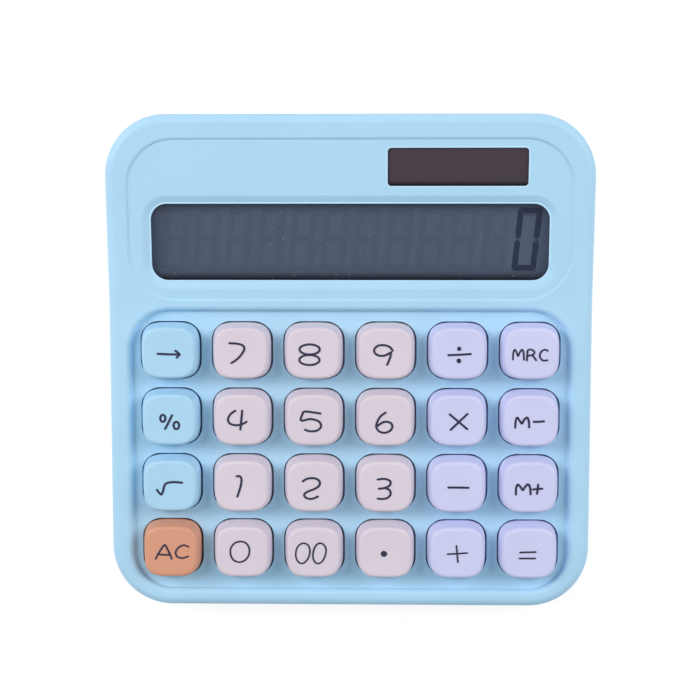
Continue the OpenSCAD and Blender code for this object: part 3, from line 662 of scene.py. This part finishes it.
# pen strokes, in millimetres from the middle of the key; a tuple closes on itself
LEGENDS = {
    "arrow": [
        [(-3.36, -0.7), (0, -0.83), (3.32, -0.9)],
        [(2.2, 0.24), (2.97, -0.33), (3.46, -0.89), (2.96, -1.47), (2.6, -1.89)]],
    "7": [[(-3.48, 2.62), (-1.07, 2.48), (0.69, 1.92), (1.11, 0.71), (0.11, -1), (-1.32, -2.49),
           (-2.89, -3.49)]],
    "8": [pen_ring(-1.09, 0.75, 3.11, 1.56), pen_ring(-1.17, -2.51, 3.11, 1.56)],
    "9": [
        [(2.1, 0.38), (1.32, 1.44), (-0.23, 2.07), (-2.2, 2), (-3.47, 1), (-3.4, -0.27), (-2.06, -1.12),
         (-0.22, -1.05), (1.4, -0.19)],
        [(1.61, -0.12), (1.33, -1.68), (0.42, -3.95)]],
    "divide": [
        [(-3.14, -0.94), (0.24, -0.79), (3.69, -0.57)],
        [(0.16, 1.09), (0.16, 1.0)],
        [(0.04, -2.63), (0.1, -2.77)]],
    "recall": [
        [(-5.73, -2.24), (-5.61, -0.05), (-5.2, 0.8), (-4.63, -0.04), (-4.19, -1.17), (-3.64, -0.04),
         (-2.88, 0.81), (-2.45, -0.39), (-2.35, -2.3)],
        [(-1.44, -2.51), (-1.32, -0.74), (-1.19, 0.6), (-0.07, 0.81), (0.85, 0.11), (0.37, -0.74),
         (-1.17, -1.03)],
        [(0.16, -0.88), (0.8, -1.59), (1.37, -2.44)],
        [(4.91, 0.47), (3.93, 0.82), (2.75, -0.03), (2.55, -1.44), (3.48, -2.5), (4.88, -2.43)]],
    "percent": [
        pen_ring(-1.98, 0.01, 0.79, 1.08, 10),
        [(0.89, 0.96), (-0.14, -1.13), (-1.3, -3.29)],
        pen_ring(2.21, -2.2, 0.86, 1.15, 10)],
    "4": [
        [(-1.8, 2.45), (-3.3, 1.37), (-4.1, -0.28), (-3.47, -1.57), (-1.62, -2.07), (0.23, -1.77),
         (1.66, -0.98)],
        [(0.33, 2.45), (0.1, 0.09), (-0.28, -3.43)]],
    "5": [[(2.19, 1.67), (-0.15, 2.02), (-2.78, 2.23), (-3.49, 1.15), (-3.92, -0.21), (-3.28, -0.57),
           (-0.86, -0.06), (1.62, -0.77), (2.4, -2.27), (1.33, -3.56), (-0.73, -3.93), (-2.58, -3.43)]],
    "6": [[(-0.04, 2.02), (-1.6, 0.8), (-2.65, -1), (-2.86, -2.64), (-1.87, -3.93), (-0.17, -4.28),
           (1.46, -3.56), (2.1, -2.2), (1.24, -1.06), (-0.6, -0.92), (-2.44, -2.07)]],
    "times": [[(-2.59, 1.5), (0.11, -0.77), (2.81, -3.05)], [(2.85, 1.66), (0.25, -0.84), (-2.28, -3.28)]],
    "memory_minus": [
        [(-4.79, -2.58), (-4.67, -0.5), (-4.19, 0.57), (-3.47, -0.36), (-2.76, -1.28), (-2.07, -0.07),
         (-1.16, 0.58), (-0.65, -0.49), (-0.49, -2.42)],
        [(0.9, -0.7), (2.46, -0.7), (4, -0.55)]],
    "root": [[(-4.05, -1.68), (-3.42, -2.62), (-2.71, -3.13), (-2.19, -2.04), (-1.74, -0.37), (-0.87, 0.5),
              (1.28, 0.8), (3.79, 0.6)]],
    "1": [[(-1.53, 2.69), (-0.53, 2.7), (-0.04, 1.69), (-0.34, -0.49), (-1.37, -3.68)]],
    "2": [[(-3.34, 1.19), (-1.84, 2.06), (0.51, 2.14), (1.86, 1.21), (1.72, -0.17), (0.15, -1.26),
           (-2, -2.13), (-2.93, -3.08), (-2.15, -4.09), (-0.43, -4.3), (1.36, -3.57)]],
    "3": [
        [(-2.41, 1.86), (-0.27, 2.08), (1.43, 1.37), (1.37, 0.14), (-0.13, -0.73), (-2.05, -1.03)],
        [(-0.13, -0.8), (1.23, -1.44), (1.59, -2.74), (0.59, -3.9), (-0.97, -4.27), (-2.4, -4.13)]],
    "minus": [[(-2.87, -0.57), (0.26, -0.56), (3.31, -0.62)]],
    "memory_plus": [
        [(-4.35, -2.65), (-4.3, -0.7), (-3.81, 0.45), (-2.96, -0.26), (-2.24, -1.27), (-1.54, -0.26),
         (-0.63, 0.54), (0.02, -0.54), (0.19, -2.55)],
        [(0.95, -1.04), (2.44, -0.89), (3.78, -0.81)],
        [(2.49, 0.41), (2.37, -0.96), (2.17, -2.4)]],
    "clear": [
        [(-4.77, -2.82), (-3.74, -0.84), (-2.49, 1.07), (-1.76, 1.65), (-1.06, 0.34), (-0.29, -1.26),
         (0.27, -2.79)],
        [(-4.11, -1.28), (-2.23, -1.49), (-0.29, -1.48)],
        [(5.57, 1.11), (4.07, 1.61), (2.4, 0.8), (1.52, -0.67), (2.01, -2.05), (3.59, -2.48),
         (5.46, -1.96)]],
    "0": [((-0.61, 2.87), (1.11, 2.44), (2.17, 0.92), (2.16, -1.13), (1.07, -2.89), (-0.81, -3.7),
           (-2.67, -3.05), (-3.59, -1.45), (-3.58, 0.59), (-2.41, 2.28))],
    "00": [
        ((-2.76, 2.39), (-1.54, 1.52), (-1.19, -0.44), (-1.92, -2.64), (-3.35, -3.96), (-4.79, -3.53),
         (-5.57, -1.78), (-5.35, 0.56), (-4.19, 2.09)),
        ((2.4, 2.42), (3.61, 1.4), (3.82, -0.56), (2.96, -2.9), (1.52, -4), (0.31, -3.43), (-0.26, -1.61),
         (0.17, 0.73), (1.18, 2.19))],
    "point": [[(-0.5, -0.79), (-0.4, -0.82)]],
    "plus": [[(-3.01, -0.8), (0.05, -0.64), (3.12, -0.4)], [(-0.25, 1.84), (-0.02, -0.64), (0.22, -3.33)]],
    "equals": [
        [(-2.86, -0.17), (-0.44, -0.08), (1.98, 0)],
        [(-2.98, -2.06), (-0.56, -2.05), (1.86, -2.03)]],
}
# widths of the strokes that differ, by legend, or by legend and stroke
LEGEND_WIDTHS = {("divide", 1): 1.25, ("divide", 2): 1.35, ("point", 0): 1.85, "0": 0.52, "00": 0.5,
                 "clear": 0.52, "plus": 0.5, "equals": 0.52, "recall": 0.55}
FILM_TOP, FILM_FOOT, FILM_STEP = 0.03, -0.16, 0.004   # heights of the ink over the top of the key


def pen_line(points, closed, steps=6):
    """Points of a smooth line through given ones."""
    n = len(points)
    if n == 2:
        return [Vector(p) for p in points]

    def at(i):
        return Vector(points[i % n if closed else min(max(i, 0), n - 1)])

    out = []
    for i in range(n if closed else n - 1):
        a, b, c, d = (at(i + k) for k in (-1, 0, 1, 2))
        for t in (k / steps for k in range(steps)):
            out.append(0.5 * (2 * b + (c - a) * t + (2 * a - 5 * b + 4 * c - d) * t * t
                              + (3 * b - a - 3 * c + d) * t ** 3))
    return out if closed else out + [at(n - 1)]


def pen_stroke(points, closed, width, fan_steps=12):
    """Flat outline of a stroke with round ends: its corners and its faces."""
    line = pen_line(points, closed)
    n, r = len(line), width / 2
    flat, faces = [], []
    for i, p in enumerate(line):
        a = line[(i - 1) % n] if closed or i else p
        b = line[(i + 1) % n] if closed or i < n - 1 else p
        d = (b - a).normalized()
        side = Vector((-d.y, d.x)) * r
        flat += [p + side, p - side]
    for i in range(n if closed else n - 1):
        a, b = 2 * i, 2 * ((i + 1) % n)
        faces.append((a, a + 1, b + 1, b))
    if not closed:
        for end, towards in ((line[0], line[0] - line[1]), (line[-1], line[-1] - line[-2])):
            base, mid = math.atan2(towards.y, towards.x) - math.pi / 2, len(flat)
            turns = [base + math.pi * k / fan_steps for k in range(fan_steps + 1)]
            flat += [end.copy()] + [end + Vector((math.cos(a), math.sin(a))) * r for a in turns]
            faces += [(mid, mid + k, mid + k + 1) for k in range(1, fan_steps + 1)]
    return flat, faces


def legend_mesh(name, col, row):
    """Printed strokes as a film that stands a little over the top of the key."""
    x0, v0 = key_place(col, row)
    verts, faces = [], []
    for k, points in enumerate(LEGENDS[name]):
        width = LEGEND_WIDTHS.get((name, k), LEGEND_WIDTHS.get(name, LEGEND_WIDTH))
        flat, tops = pen_stroke(points, isinstance(points, tuple), width)
        lift = KEY_H - TRAY_DEPTH + FILM_STEP * k
        base, m = len(verts), len(flat)
        for w in (lift + FILM_TOP, lift + FILM_FOOT):
            verts += [on_keypad(x0 + p.x, v0 + p.y, w) for p in flat]
        faces += [tuple(base + i for i in f) for f in tops]
        faces += [tuple(base + m + i for i in reversed(f)) for f in tops]
        edges = {(a, b): None for f in tops for a, b in zip(f, f[1:] + f[:1])}
        faces += [(base + b, base + a, base + m + a, base + m + b)
                  for a, b in edges if (b, a) not in edges]
    return verts, faces


def keys():
    for name, col, row, tint in KEYS:
        body = f"key_{name}_cap"
        piece(f"cap_{name}", *key_mesh(col, row), KEY_PAINTS[tint], body, f"key_{tint}",
              (f"key_{name}",))
        piece(f"legend_{name}", *legend_mesh(name, col, row), INK, body)


# ---- rubber domes under the keys ----

def collar_rule(paint):
    """Copies of a collar, one for each key, laid on the sloping sheet."""
    r = Rule("dome_collars", across=5 * PITCH_X * MM, along=3 * PITCH_V * MM,
             lean=(0.0, 0.0, 0.0), middle=(0.0, 0.0, 0.0))
    grid = r.add("GeometryNodeMeshGrid", {"Size X": r.size("across"), "Size Y": r.size("along"),
                                          "Vertices X": 6, "Vertices Y": 4})
    laid = r.moved(r.repeated(grid, r.size("geometry")), Rotation=r.size("lean"),
                   Translation=r.size("middle"))
    r.close(laid.outputs[0], paint)
    return r


def domes():
    """Rubber sheet with open collars, and the crowns that sink into them under the keys."""
    rubber = Paint("dome_silicone", srgb(232, 232, 228), 0.6)
    rubber.tinted(rubber.noise(6.0, 3.0), 0.03)
    rubber.bump(rubber.noise(0.5, 2.0), 0.01, 0.3)
    rubber.dress(Subsurface_Weight=0.15, Subsurface_Radius=(0.002, 0.002, 0.002))

    front, back = FIRST_ROW_V - 3 * PITCH_V - 5.5, FIRST_ROW_V + 5.1
    holes = [hole_outline(*key_place(col, row), 4.0, 36) for col in range(6) for row in range(4)]
    holes += [hole_outline(x, v, 1.2, 24) for x, v in BOARD_SCREWS_AT]
    sheet = round_outline(0, (front + back) / 2, 5 * PITCH_X + 15.2, back - front, 3.0)
    verts, edges = outline_mesh(sheet, *holes)
    lean = (KEY_SLOPE, 0.0, 0.0)
    plate_rule("dome_sheet", rubber.mat).grow(
        "dome_sheet", verts, [], "case", "dome_white", ("key_mat",), edges, lean=lean,
        thickness=SHEET_Z - BOARD_Z, middle=tuple(on_keypad(0, 0, BOARD_Z - TRAY_DEPTH)))

    collar = [(4.6, -0.03), (3.42, 1.74), (3.3, 1.8), (3.18, 1.74), (3.16, 1.6), (3.94, 0.2),
              (3.94, -0.03), (4.6, -0.03)]
    collar_rule(rubber.mat).grow(
        "dome_collars", *turned(collar, lambda a, b, w: Vector((a, b, w)) * MM, 32), "case",
        "dome_white", lean=lean,
        middle=tuple(on_keypad(0, FIRST_ROW_V - 1.5 * PITCH_V, SHEET_Z - TRAY_DEPTH)))

    low = CROWN_Z - CROWN_T
    crown = [(0.0, low), (2.9, low), (3.02, low + 0.1), (2.97, CROWN_Z - 0.12), (2.85, CROWN_Z),
             (0.0, CROWN_Z)]
    for name, col, row, _ in KEYS:
        x, v = key_place(col, row)
        body = turned(crown, lambda a, b, w: on_keypad(x + a, v + b, w - TRAY_DEPTH), 32)
        piece(f"crown_{name}", *body, rubber.mat, f"key_{name}_cap", "dome_white")


# ---- case ----

def shell_ring(name, place, around, section, paint=SHELL, angle=CREASE):
    """Part of the front shell that runs round the tray or a window."""
    piece(name, *ring_round(place, *around, section), paint, "case", "shell_blue", angle=angle)


def cove_section(roll, depth, cove, steps=7):
    """Hollow between the rolled edge of a rim and the floor beside it, tangent to both."""
    up = cove - (depth - roll)
    across = math.sqrt((roll + cove) ** 2 - up ** 2)
    touch = math.atan2(up, across)
    out = []
    for k in range(steps + 1):
        a = math.pi + touch + (math.pi / 2 - touch) * k / steps
        out.append((across + cove * math.cos(a) - roll, cove + cove * math.sin(a) - depth))
    foot, outer = -depth - 0.15, out[0][0] - 0.3
    return out + [(out[-1][0], foot), (outer, foot), (outer, out[0][1] - 0.1)]


def dish_section(steps=6):
    """Dish that falls from the recess floor to the lip of the display, steeper at its end."""
    out = [(-DISH - 0.2, RECESS_SHOWN - 0.6), (-DISH - 0.2, RECESS_SHOWN - 0.02)]
    for t in (k / steps for k in range(steps + 1)):
        fall = (LIP_SHOWN - RECESS_SHOWN) * (0.8 * t + 0.2 * t * t)
        out.append((-DISH + (DISH - 0.3) * t, RECESS_SHOWN + fall))
    return out + [(-0.02, LIP_SHOWN - 0.05), (-0.02, LENS_TOP - 0.1), (-0.6, LENS_TOP - 0.1)]


def lip_section(top):
    """Fine rounded lip where the shell meets a window; the lighter paint it gets is a painted highlight."""
    return [(-0.55, top - 0.3), (-0.5, top - 0.1), (-0.36, top - 0.02), (-0.14, top),
            (0.02, top - 0.06), (0.06, top - 0.3)]


def recess_floor():
    """Floor of the display recess, with the dish of the display and the wall of the light window."""
    floor_t = 0.85
    verts, edges = outline_mesh(round_outline(*RECESS, 0.35), round_outline(*DISPLAY, DISH),
                                round_outline(*LIGHT, 0.3))
    plate_rule("recess_floor", SHELL).grow(
        "recess_floor", verts, [], "case", "shell_blue", edges=edges, thickness=floor_t,
        lean=(VIEW_SLOPE, 0.0, 0.0), middle=tuple(on_display(0, 0, RECESS_SHOWN - floor_t)))
    shell_ring("display_dish", on_display, DISPLAY, dish_section())
    top, foot = RECESS_SHOWN - 0.1, -1.6
    shell_ring("light_wall", on_display, LIGHT, [(-0.6, top), (-0.02, top), (-0.02, foot), (-0.6, foot)])


def case():
    smooth_copy("front_shell", "front_case", SHELL, "case")
    shell_ring("tray_cove", on_keypad, TRAY, cove_section(1.8, TRAY_DEPTH, 0.6), angle=50)
    recess_floor()
    smooth_copy("rear_shell", "rear_case", BASE, "case")
    smooth_copy("cell_door", "battery_door", BASE, "door")


# ---- display ----

# the lit digit: its middle, width, height, bar width and slant; the next ones are a pitch away
DIGIT_X, DIGIT_V, DIGIT_W, DIGIT_H, DIGIT_T, DIGIT_SLANT = 54.7, 19.95, 7.5, 19.5, 1.75, 0.0955
DIGIT_PITCH, UNLIT_DIGITS = 9.9, 11
ZERO, ALL_BARS = "abcdef", "abcdefgp"


def digit_shapes(which):
    """Slanted display digit: outlines of its bars about its middle, in millimetres."""
    w, h, t = DIGIT_W / 2, DIGIT_H / 2, DIGIT_T
    gap, cut, m = 0.1, 0.5, DIGIT_T / 2
    side = [(w, h - cut - gap), (w, 0.95), (w - m + 0.15, 0.1), (w - t, 0.95), (w - t, h - t - gap),
            (w - cut, h - cut - 0.1 + gap)]
    top = [(-w + cut, h), (w - cut, h), (w - cut, h - cut + gap), (w - t - gap, h - t),
           (-w + t + gap, h - t), (-w + cut, h - cut + gap)]
    middle = [(-w + m + gap, 0), (-w + t, m), (w - t, m), (w - m - gap, 0), (w - t, -m), (-w + t, -m)]
    bars = {
        "a": top, "b": side, "g": middle,
        "c": [(x, -y) for x, y in reversed(side)], "d": [(x, -y) for x, y in reversed(top)],
        "e": [(-x, -y) for x, y in side], "f": [(-x, y) for x, y in reversed(side)],
        "p": [(w + 0.7, -h - 0.2), (w + 0.7, -h + 0.9), (w + 1.8, -h + 0.9), (w + 1.8, -h - 0.2)],
    }
    return [[(x + y * DIGIT_SLANT, y) for x, y in bars[k]] for k in which]


def digit_mesh(x0, v0, which, lift):
    """Bars of a digit as a film, lifted off the front glass."""
    verts, faces = [], []
    for outline in digit_shapes(which):
        n, base = len(outline), len(verts)
        for w in (GLASS_TOP + lift, GLASS_TOP + lift - 0.03):
            verts += [on_display(x0 + x, v0 + v, w) for x, v in outline]
        faces.append(tuple(range(base, base + n)))
        faces.append(tuple(base + n + i for i in reversed(range(n))))
        faces += [(base + i, base + n + i, base + n + (i + 1) % n, base + (i + 1) % n)
                  for i in range(n)]
    return verts, faces


def along_display(p, v, reach):
    """0 at v on the display plane, 1 at reach further back."""
    along = (0.0, math.cos(VIEW_SLOPE), math.sin(VIEW_SLOPE))
    dot = p.add("ShaderNodeVectorMath", {0: p.place, 1: along}, operation="DOT_PRODUCT")
    zero = (BEND_Y * along[1] + BEND_Z * along[2] + v) * MM
    return p.spread(dot.outputs["Value"], 0.0, 1.0, zero, zero + reach * MM)


def window_pane(name, colour, front_shade_colour, alpha, dust, front, reach):
    """Tinted pane with painted shade that darkens it towards its front edge, and a little dust on it."""
    p = Paint(name, colour, 0.24)
    away = along_display(p, front, reach)
    cloud = p.between(p.clouds(p.noise(18, 3.0)), p.shade(0.97), p.shade(1.04))
    dust_pitch = 3.4
    cells = p.add("ShaderNodeTexVoronoi", {"Vector": p.place, "Scale": 1.0 / (dust_pitch * MM)},
                  voronoi_dimensions="2D")
    chance = p.add("ShaderNodeSeparateColor", {0: cells.outputs["Color"]}).outputs[0]
    speck = p.maths("MULTIPLY", p.spread(cells.outputs["Distance"], 1.0, 0.0, 0.03, 0.065),
                    p.spread(chance, 0.0, dust, 0.76, 0.84))
    # painted shade: towards the front edge the colour turns to the shade colour and the pane grows opaque
    p.dress(Base_Color=p.between(speck, p.between(away, front_shade_colour, cloud), srgb(150, 160, 172)),
            Alpha=p.maths("MAXIMUM", p.spread(away, 0.92, alpha), speck),
            Roughness=p.clouds(p.noise(8.0, 4.0), 0.2, 0.32), IOR=1.49)
    return p.mat


def display():
    """Display window over its glasses, with the lit digit and the shade it throws."""
    front = DISPLAY[1] - DISPLAY[3] / 2
    # srgb(0, 5, 24) is painted shade along the front edge of the display window
    lens = window_pane("display_window_acrylic", srgb(79, 88, 107), srgb(0, 5, 24), 0.1, 0.75,
                       front + 0.45, 2.2)
    rings = [(1.4, LENS_TOP - LENS_T)] + rounded_rim(1.4, LENS_TOP, 0.15)
    piece("display_pane", *rounded_stack(on_display, *DISPLAY, rings), lens, "case", "window_slate",
          ("display_window",))
    glass = Paint("display_glass", srgb(84, 95, 119), 0.3)
    streak = glass.add("ShaderNodeMapping", {"Vector": glass.place, "Scale": (1.0, 0.06, 1.0)})
    glass.tinted(glass.clouds(glass.noise(6.0, 3.0, 0.6, streak.outputs["Vector"])), 0.07)
    smooth_copy("display_glasses", "lcd_panel", glass.mat, "case")
    for name, paint_name, colour, back, lift in (
            ("lit_digit", "display_bars", (20, 33, 70), 0.0, 0.06),
            ("lit_digit_shade", "display_bar_shade", (70, 80, 104), 0.85, 0.025)):
        piece(name, *digit_mesh(DIGIT_X, DIGIT_V - back, ZERO, lift),
              moulded(paint_name, srgb(*colour), 0.35, 0.3, 0.002), "case", "display_glass")
    # the lip's lighter paint is a painted highlight round the display window
    shell_ring("display_lip", on_display, DISPLAY, lip_section(LIP_SHOWN + 0.12), LIP_HIGHLIGHT, 80)


def light_window():
    front = LIGHT[1] - LIGHT[3] / 2
    # srgb(6, 5, 9) is painted shade along the front edge of the light window
    brown = window_pane("light_window_acrylic", srgb(78, 64, 73), srgb(6, 5, 9), 0.7, 0.15,
                        front + 0.65, 1.0)
    inset, shelf = -0.06, -1.92
    rings = [(0.9, -3.0), (0.9, shelf), (inset, shelf)] + rounded_rim(inset, RECESS_SHOWN - 0.55, 0.12)
    piece("light_pane", *rounded_stack(on_display, *LIGHT, rings), brown, "case", "window_brown",
          ("solar_window",))
    # the lip's lighter paint is a painted highlight round the light window
    shell_ring("light_lip", on_display, LIGHT, lip_section(RECESS_SHOWN + 0.05), LIP_HIGHLIGHT, 80)


def unlit_digits():
    """Unlit digits, hardly darker than the glass, one pitch apart."""
    r = Rule("ghost_digits", count=UNLIT_DIGITS, pitch=(0.01, 0.0, 0.0))
    row = r.add("GeometryNodeMeshLine", {"Count": r.size("count"), "Offset": r.size("pitch")},
                mode="OFFSET")
    faint = Paint("unlit_bars", srgb(79, 90, 113), 0.3)
    faint.tinted(faint.noise(5.0, 2.0), 0.02)
    r.close(r.repeated(row, r.size("geometry")).outputs[0], faint.mat)
    first = digit_mesh(DIGIT_X - UNLIT_DIGITS * DIGIT_PITCH, DIGIT_V, ALL_BARS, 0.04)
    r.grow("unlit_digits", *first, "case", "display_glass", pitch=(DIGIT_PITCH * MM, 0.0, 0.0))


# ---- what the case holds and stands on ----

def feet():
    """Rubber feet with a rounded edge and a moulded ring groove."""
    rubber = Paint("foot_rubber_mat", srgb(92, 95, 100), 0.75)
    rubber.tinted(rubber.noise(1.2, 3.0), 0.08)
    rubber.bump(rubber.noise(0.12, 3.0, 0.6), 0.02, 0.5)
    profile = [(0.0, 0.0), (2.0, 0.0), (2.15, 0.05), (2.3, 0.3), (2.9, 0.3), (3.05, 0.05), (3.2, 0.0),
               (4.35, 0.0), (4.7, 0.1), (4.92, 0.3), (5.0, 0.6), (5.0, 2.48), (0.0, 2.48)]
    for name, x, y in (("front_left", -60, -58), ("front_right", 60, -58), ("back_left", -60, 49),
                       ("back_right", 60, 49)):
        foot = turned(profile, lambda a, b, z: Vector((x + a, y + b, z)) * MM)
        piece(f"rubber_foot_{name}", *foot, rubber.mat, "case", "foot_rubber", (f"foot_{name}",))


def cell():
    """Plain sleeved cell with crimped ends and a button."""
    lo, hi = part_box("battery_cell")
    y, z, r = (lo.y + hi.y) / 2 / MM, (lo.z + hi.z) / 2 / MM, (hi.z - lo.z) / 2 / MM
    left, right = lo.x / MM, hi.x / MM
    can_r = r - 0.12
    can = [(0.0, right), (1.5, right), (1.8, right - 0.15), (1.9, right - 0.4), (1.9, right - 0.9),
           (4.4, right - 0.9), (4.9, right - 1.05), (can_r, right - 1.4), (can_r, left + 0.5),
           (4.8, left + 0.15), (4.0, left), (2.6, left), (2.4, left + 0.12), (0.0, left + 0.12)]
    wrap = [(4.3, right - 0.96), (4.95, right - 1.0), (r, right - 1.5), (r, left + 0.6),
            (4.85, left + 0.1), (4.3, left + 0.06), (4.3, left + 0.3), (r - 0.3, left + 0.8),
            (r - 0.3, right - 1.6), (4.3, right - 1.2), (4.3, right - 0.96)]
    nickel = metal("cell_can_nickel", (0.62, 0.61, 0.58, 1), 0.3)

    film = Paint("cell_sleeve_film", srgb(58, 74, 96), 0.32)
    across = film.add("ShaderNodeSeparateXYZ", {0: film.place}).outputs[0]
    end = film.spread(across, 0.0, 1.0, (right - 9.1) * MM, (right - 9.0) * MM)
    tint = film.between(end, film.colour, srgb(196, 138, 96))
    cloud = film.between(film.noise(3.0, 3.0), tint, srgb(70, 84, 104))
    film.dress(Base_Color=film.between(0.12, tint, cloud))
    film.bump(film.noise(0.8, 2.0), 0.01, 0.3)
    for name, profile, paint, node in (("cell_can", can, nickel, ("battery_cell",)),
                                       ("cell_sleeve", wrap, film.mat, ())):
        body = turned(profile, lambda a, b, c: Vector((c, y + a, z + b)) * MM)
        piece(name, *body, paint, "case", "cell_silver", node)


def inner_pieces():
    """Board, ribbon, frame, light cell, chip, capacitor and leads, on the solids of their nodes."""
    laminate = Paint("board_laminate", srgb(150, 118, 70), 0.55)
    weave = laminate.noise(0.6, 2.0)
    laminate.tinted(weave, 0.1)
    laminate.bump(weave, 0.02, 0.4)
    resin = Paint("chip_resin", srgb(22, 22, 24), 0.3)
    resin.tinted(resin.noise(2.0, 3.0), 0.15)
    resin.bump(resin.noise(1.5, 2.0), 0.08, 0.3)
    sleeve = Paint("capacitor_sleeve", srgb(30, 34, 46), 0.4)
    sleeve.dress(Base_Color=sleeve.between(sleeve.noise(5.0, 3.0), sleeve.colour, sleeve.shade(0.85)))
    white = moulded("frame_white_abs", srgb(236, 236, 232), 0.5)
    black = moulded("lead_black_vinyl", srgb(30, 30, 32), 0.4, 0.3, 0.006)
    red = moulded("lead_red_vinyl", srgb(186, 38, 34), 0.4, 0.3, 0.006)
    ribbon = striped("ribbon_film", srgb(150, 104, 56), srgb(96, 66, 40), 1.0, 0.45, 0.35)
    wafer = striped("light_cell_wafer", srgb(52, 40, 46), srgb(92, 84, 88), 7.2, 0.03, 0.3)
    for name, node, paint, slot in (
            ("light_cell", "solar_cell", wafer, "cell_black"),
            ("display_frame", "lcd_frame", white, "frame_white"),
            ("display_ribbon", "lcd_ribbon", ribbon, "ribbon_brown"),
            ("circuit_board", "main_board", laminate.mat, "board_brown"),
            ("resin_blob", "chip_blob", resin.mat, "resin_black"),
            ("buffer_capacitor", "capacitor", sleeve.mat, "sleeve_black"),
            ("black_cell_lead", "cell_lead_minus", black, "lead_black"),
            ("red_cell_lead", "cell_lead_plus", red, "lead_red"),
            ("black_light_lead", "solar_lead_minus", black, "lead_black"),
            ("red_light_lead", "solar_lead_plus", red, "lead_red")):
        smooth_copy(name, node, paint, "case", 40)


# ---- camera, table and lights ----

CAMERA_AT = (0.00934, -0.000791, 0.448591)
CAMERA_TURN = ((0.715, "X"), (1.25, "Y"), (0.114, "Z"))     # degrees from straight down
LIGHT_SIZE, LIGHT_COLOUR = (0.5, 0.9), (1.0, 0.935, 0.915)
PAPER_GREY = (0.8, 0.8, 0.8, 1)


def camera():
    data = bpy.data.cameras.new("view")
    data.sensor_width = 36.0
    data.lens = 70.351
    data.clip_start, data.clip_end = 0.01, 20.0
    cam = link("view", data)
    place = Matrix.Translation(CAMERA_AT)
    for degrees, axis in CAMERA_TURN:
        place = place @ Matrix.Rotation(math.radians(degrees), 4, axis)
    cam.matrix_world = place
    bpy.context.scene.camera = cam


def softbox(name, place, power):
    """Warm area light that faces the middle of the table."""
    data = bpy.data.lights.new(name, "AREA")
    data.shape = "RECTANGLE"
    data.size, data.size_y = LIGHT_SIZE
    data.energy, data.color = power, LIGHT_COLOUR
    lamp = link(name, data)
    lamp.location = place
    lamp.rotation_mode = "QUATERNION"
    lamp.rotation_quaternion = (-Vector(place)).to_track_quat("-Z", "Y")


def table_top():
    """Pale table: bright where it is seen or mirrored, paper elsewhere, open from below."""
    s = 3.0
    mesh = bpy.data.meshes.new("table_top")
    mesh.from_pydata([(-s, -s, 0), (s, -s, 0), (s, s, 0), (-s, s, 0)], [], [(0, 1, 2, 3)])
    p = Paint("table_paper", PAPER_GREY, 0.8)
    p.dress(Base_Color=(0.2, 0.2, 0.2, 1))
    ray = p.add("ShaderNodeLightPath").outputs
    seen = p.maths("MAXIMUM", ray["Is Camera Ray"], ray["Is Glossy Ray"])
    glow = p.add("ShaderNodeEmission", {"Strength": 0.84})
    bright = p.add("ShaderNodeAddShader", {0: p.shader.outputs[0], 1: glow.outputs[0]})
    plain = p.add("ShaderNodeBsdfDiffuse", {"Color": PAPER_GREY})
    above = p.add("ShaderNodeMixShader", {0: seen, 1: plain.outputs[0], 2: bright.outputs[0]})
    below = p.add("ShaderNodeBsdfTransparent")
    back = p.add("ShaderNodeNewGeometry").outputs["Backfacing"]
    both = p.add("ShaderNodeMixShader", {0: back, 1: above.outputs[0], 2: below.outputs[0]})
    p.feed(both.outputs[0], p.tree.nodes["Material Output"].inputs["Surface"])
    mesh.materials.append(p.mat)
    link("table_top", mesh)


def room():
    """White to the eye, a cool even light to everything else, and two softboxes."""
    world = bpy.data.worlds.new("room")
    bpy.context.scene.world = world
    world.use_nodes = True
    air = Nodes(world.node_tree)
    cool = air.tree.nodes["Background"]
    air.feed((0.87, 0.97, 1.0, 1), cool.inputs["Color"])
    air.feed(0.42, cool.inputs["Strength"])
    white = air.add("ShaderNodeBackground", {"Color": (1.0, 1.0, 1.0, 1), "Strength": 1.0})
    seen = air.add("ShaderNodeLightPath").outputs["Is Camera Ray"]
    pick = air.add("ShaderNodeMixShader", {0: seen, 1: cool.outputs[0], 2: white.outputs[0]})
    air.feed(pick.outputs[0], air.tree.nodes["World Output"].inputs["Surface"])
    softbox("left_light", (-0.88, 0.31, 0.76), 9.6)
    softbox("right_light", (0.88, 0.31, 0.76), 7.8)


camera()
keys()
domes()
case()
display()
light_window()
unlit_digits()
screws()
contacts()
cell()
feet()
inner_pieces()
table_top()
room()

scene = bpy.context.scene
scene.view_settings.view_transform = "Standard"
bpy.context.view_layer.update()
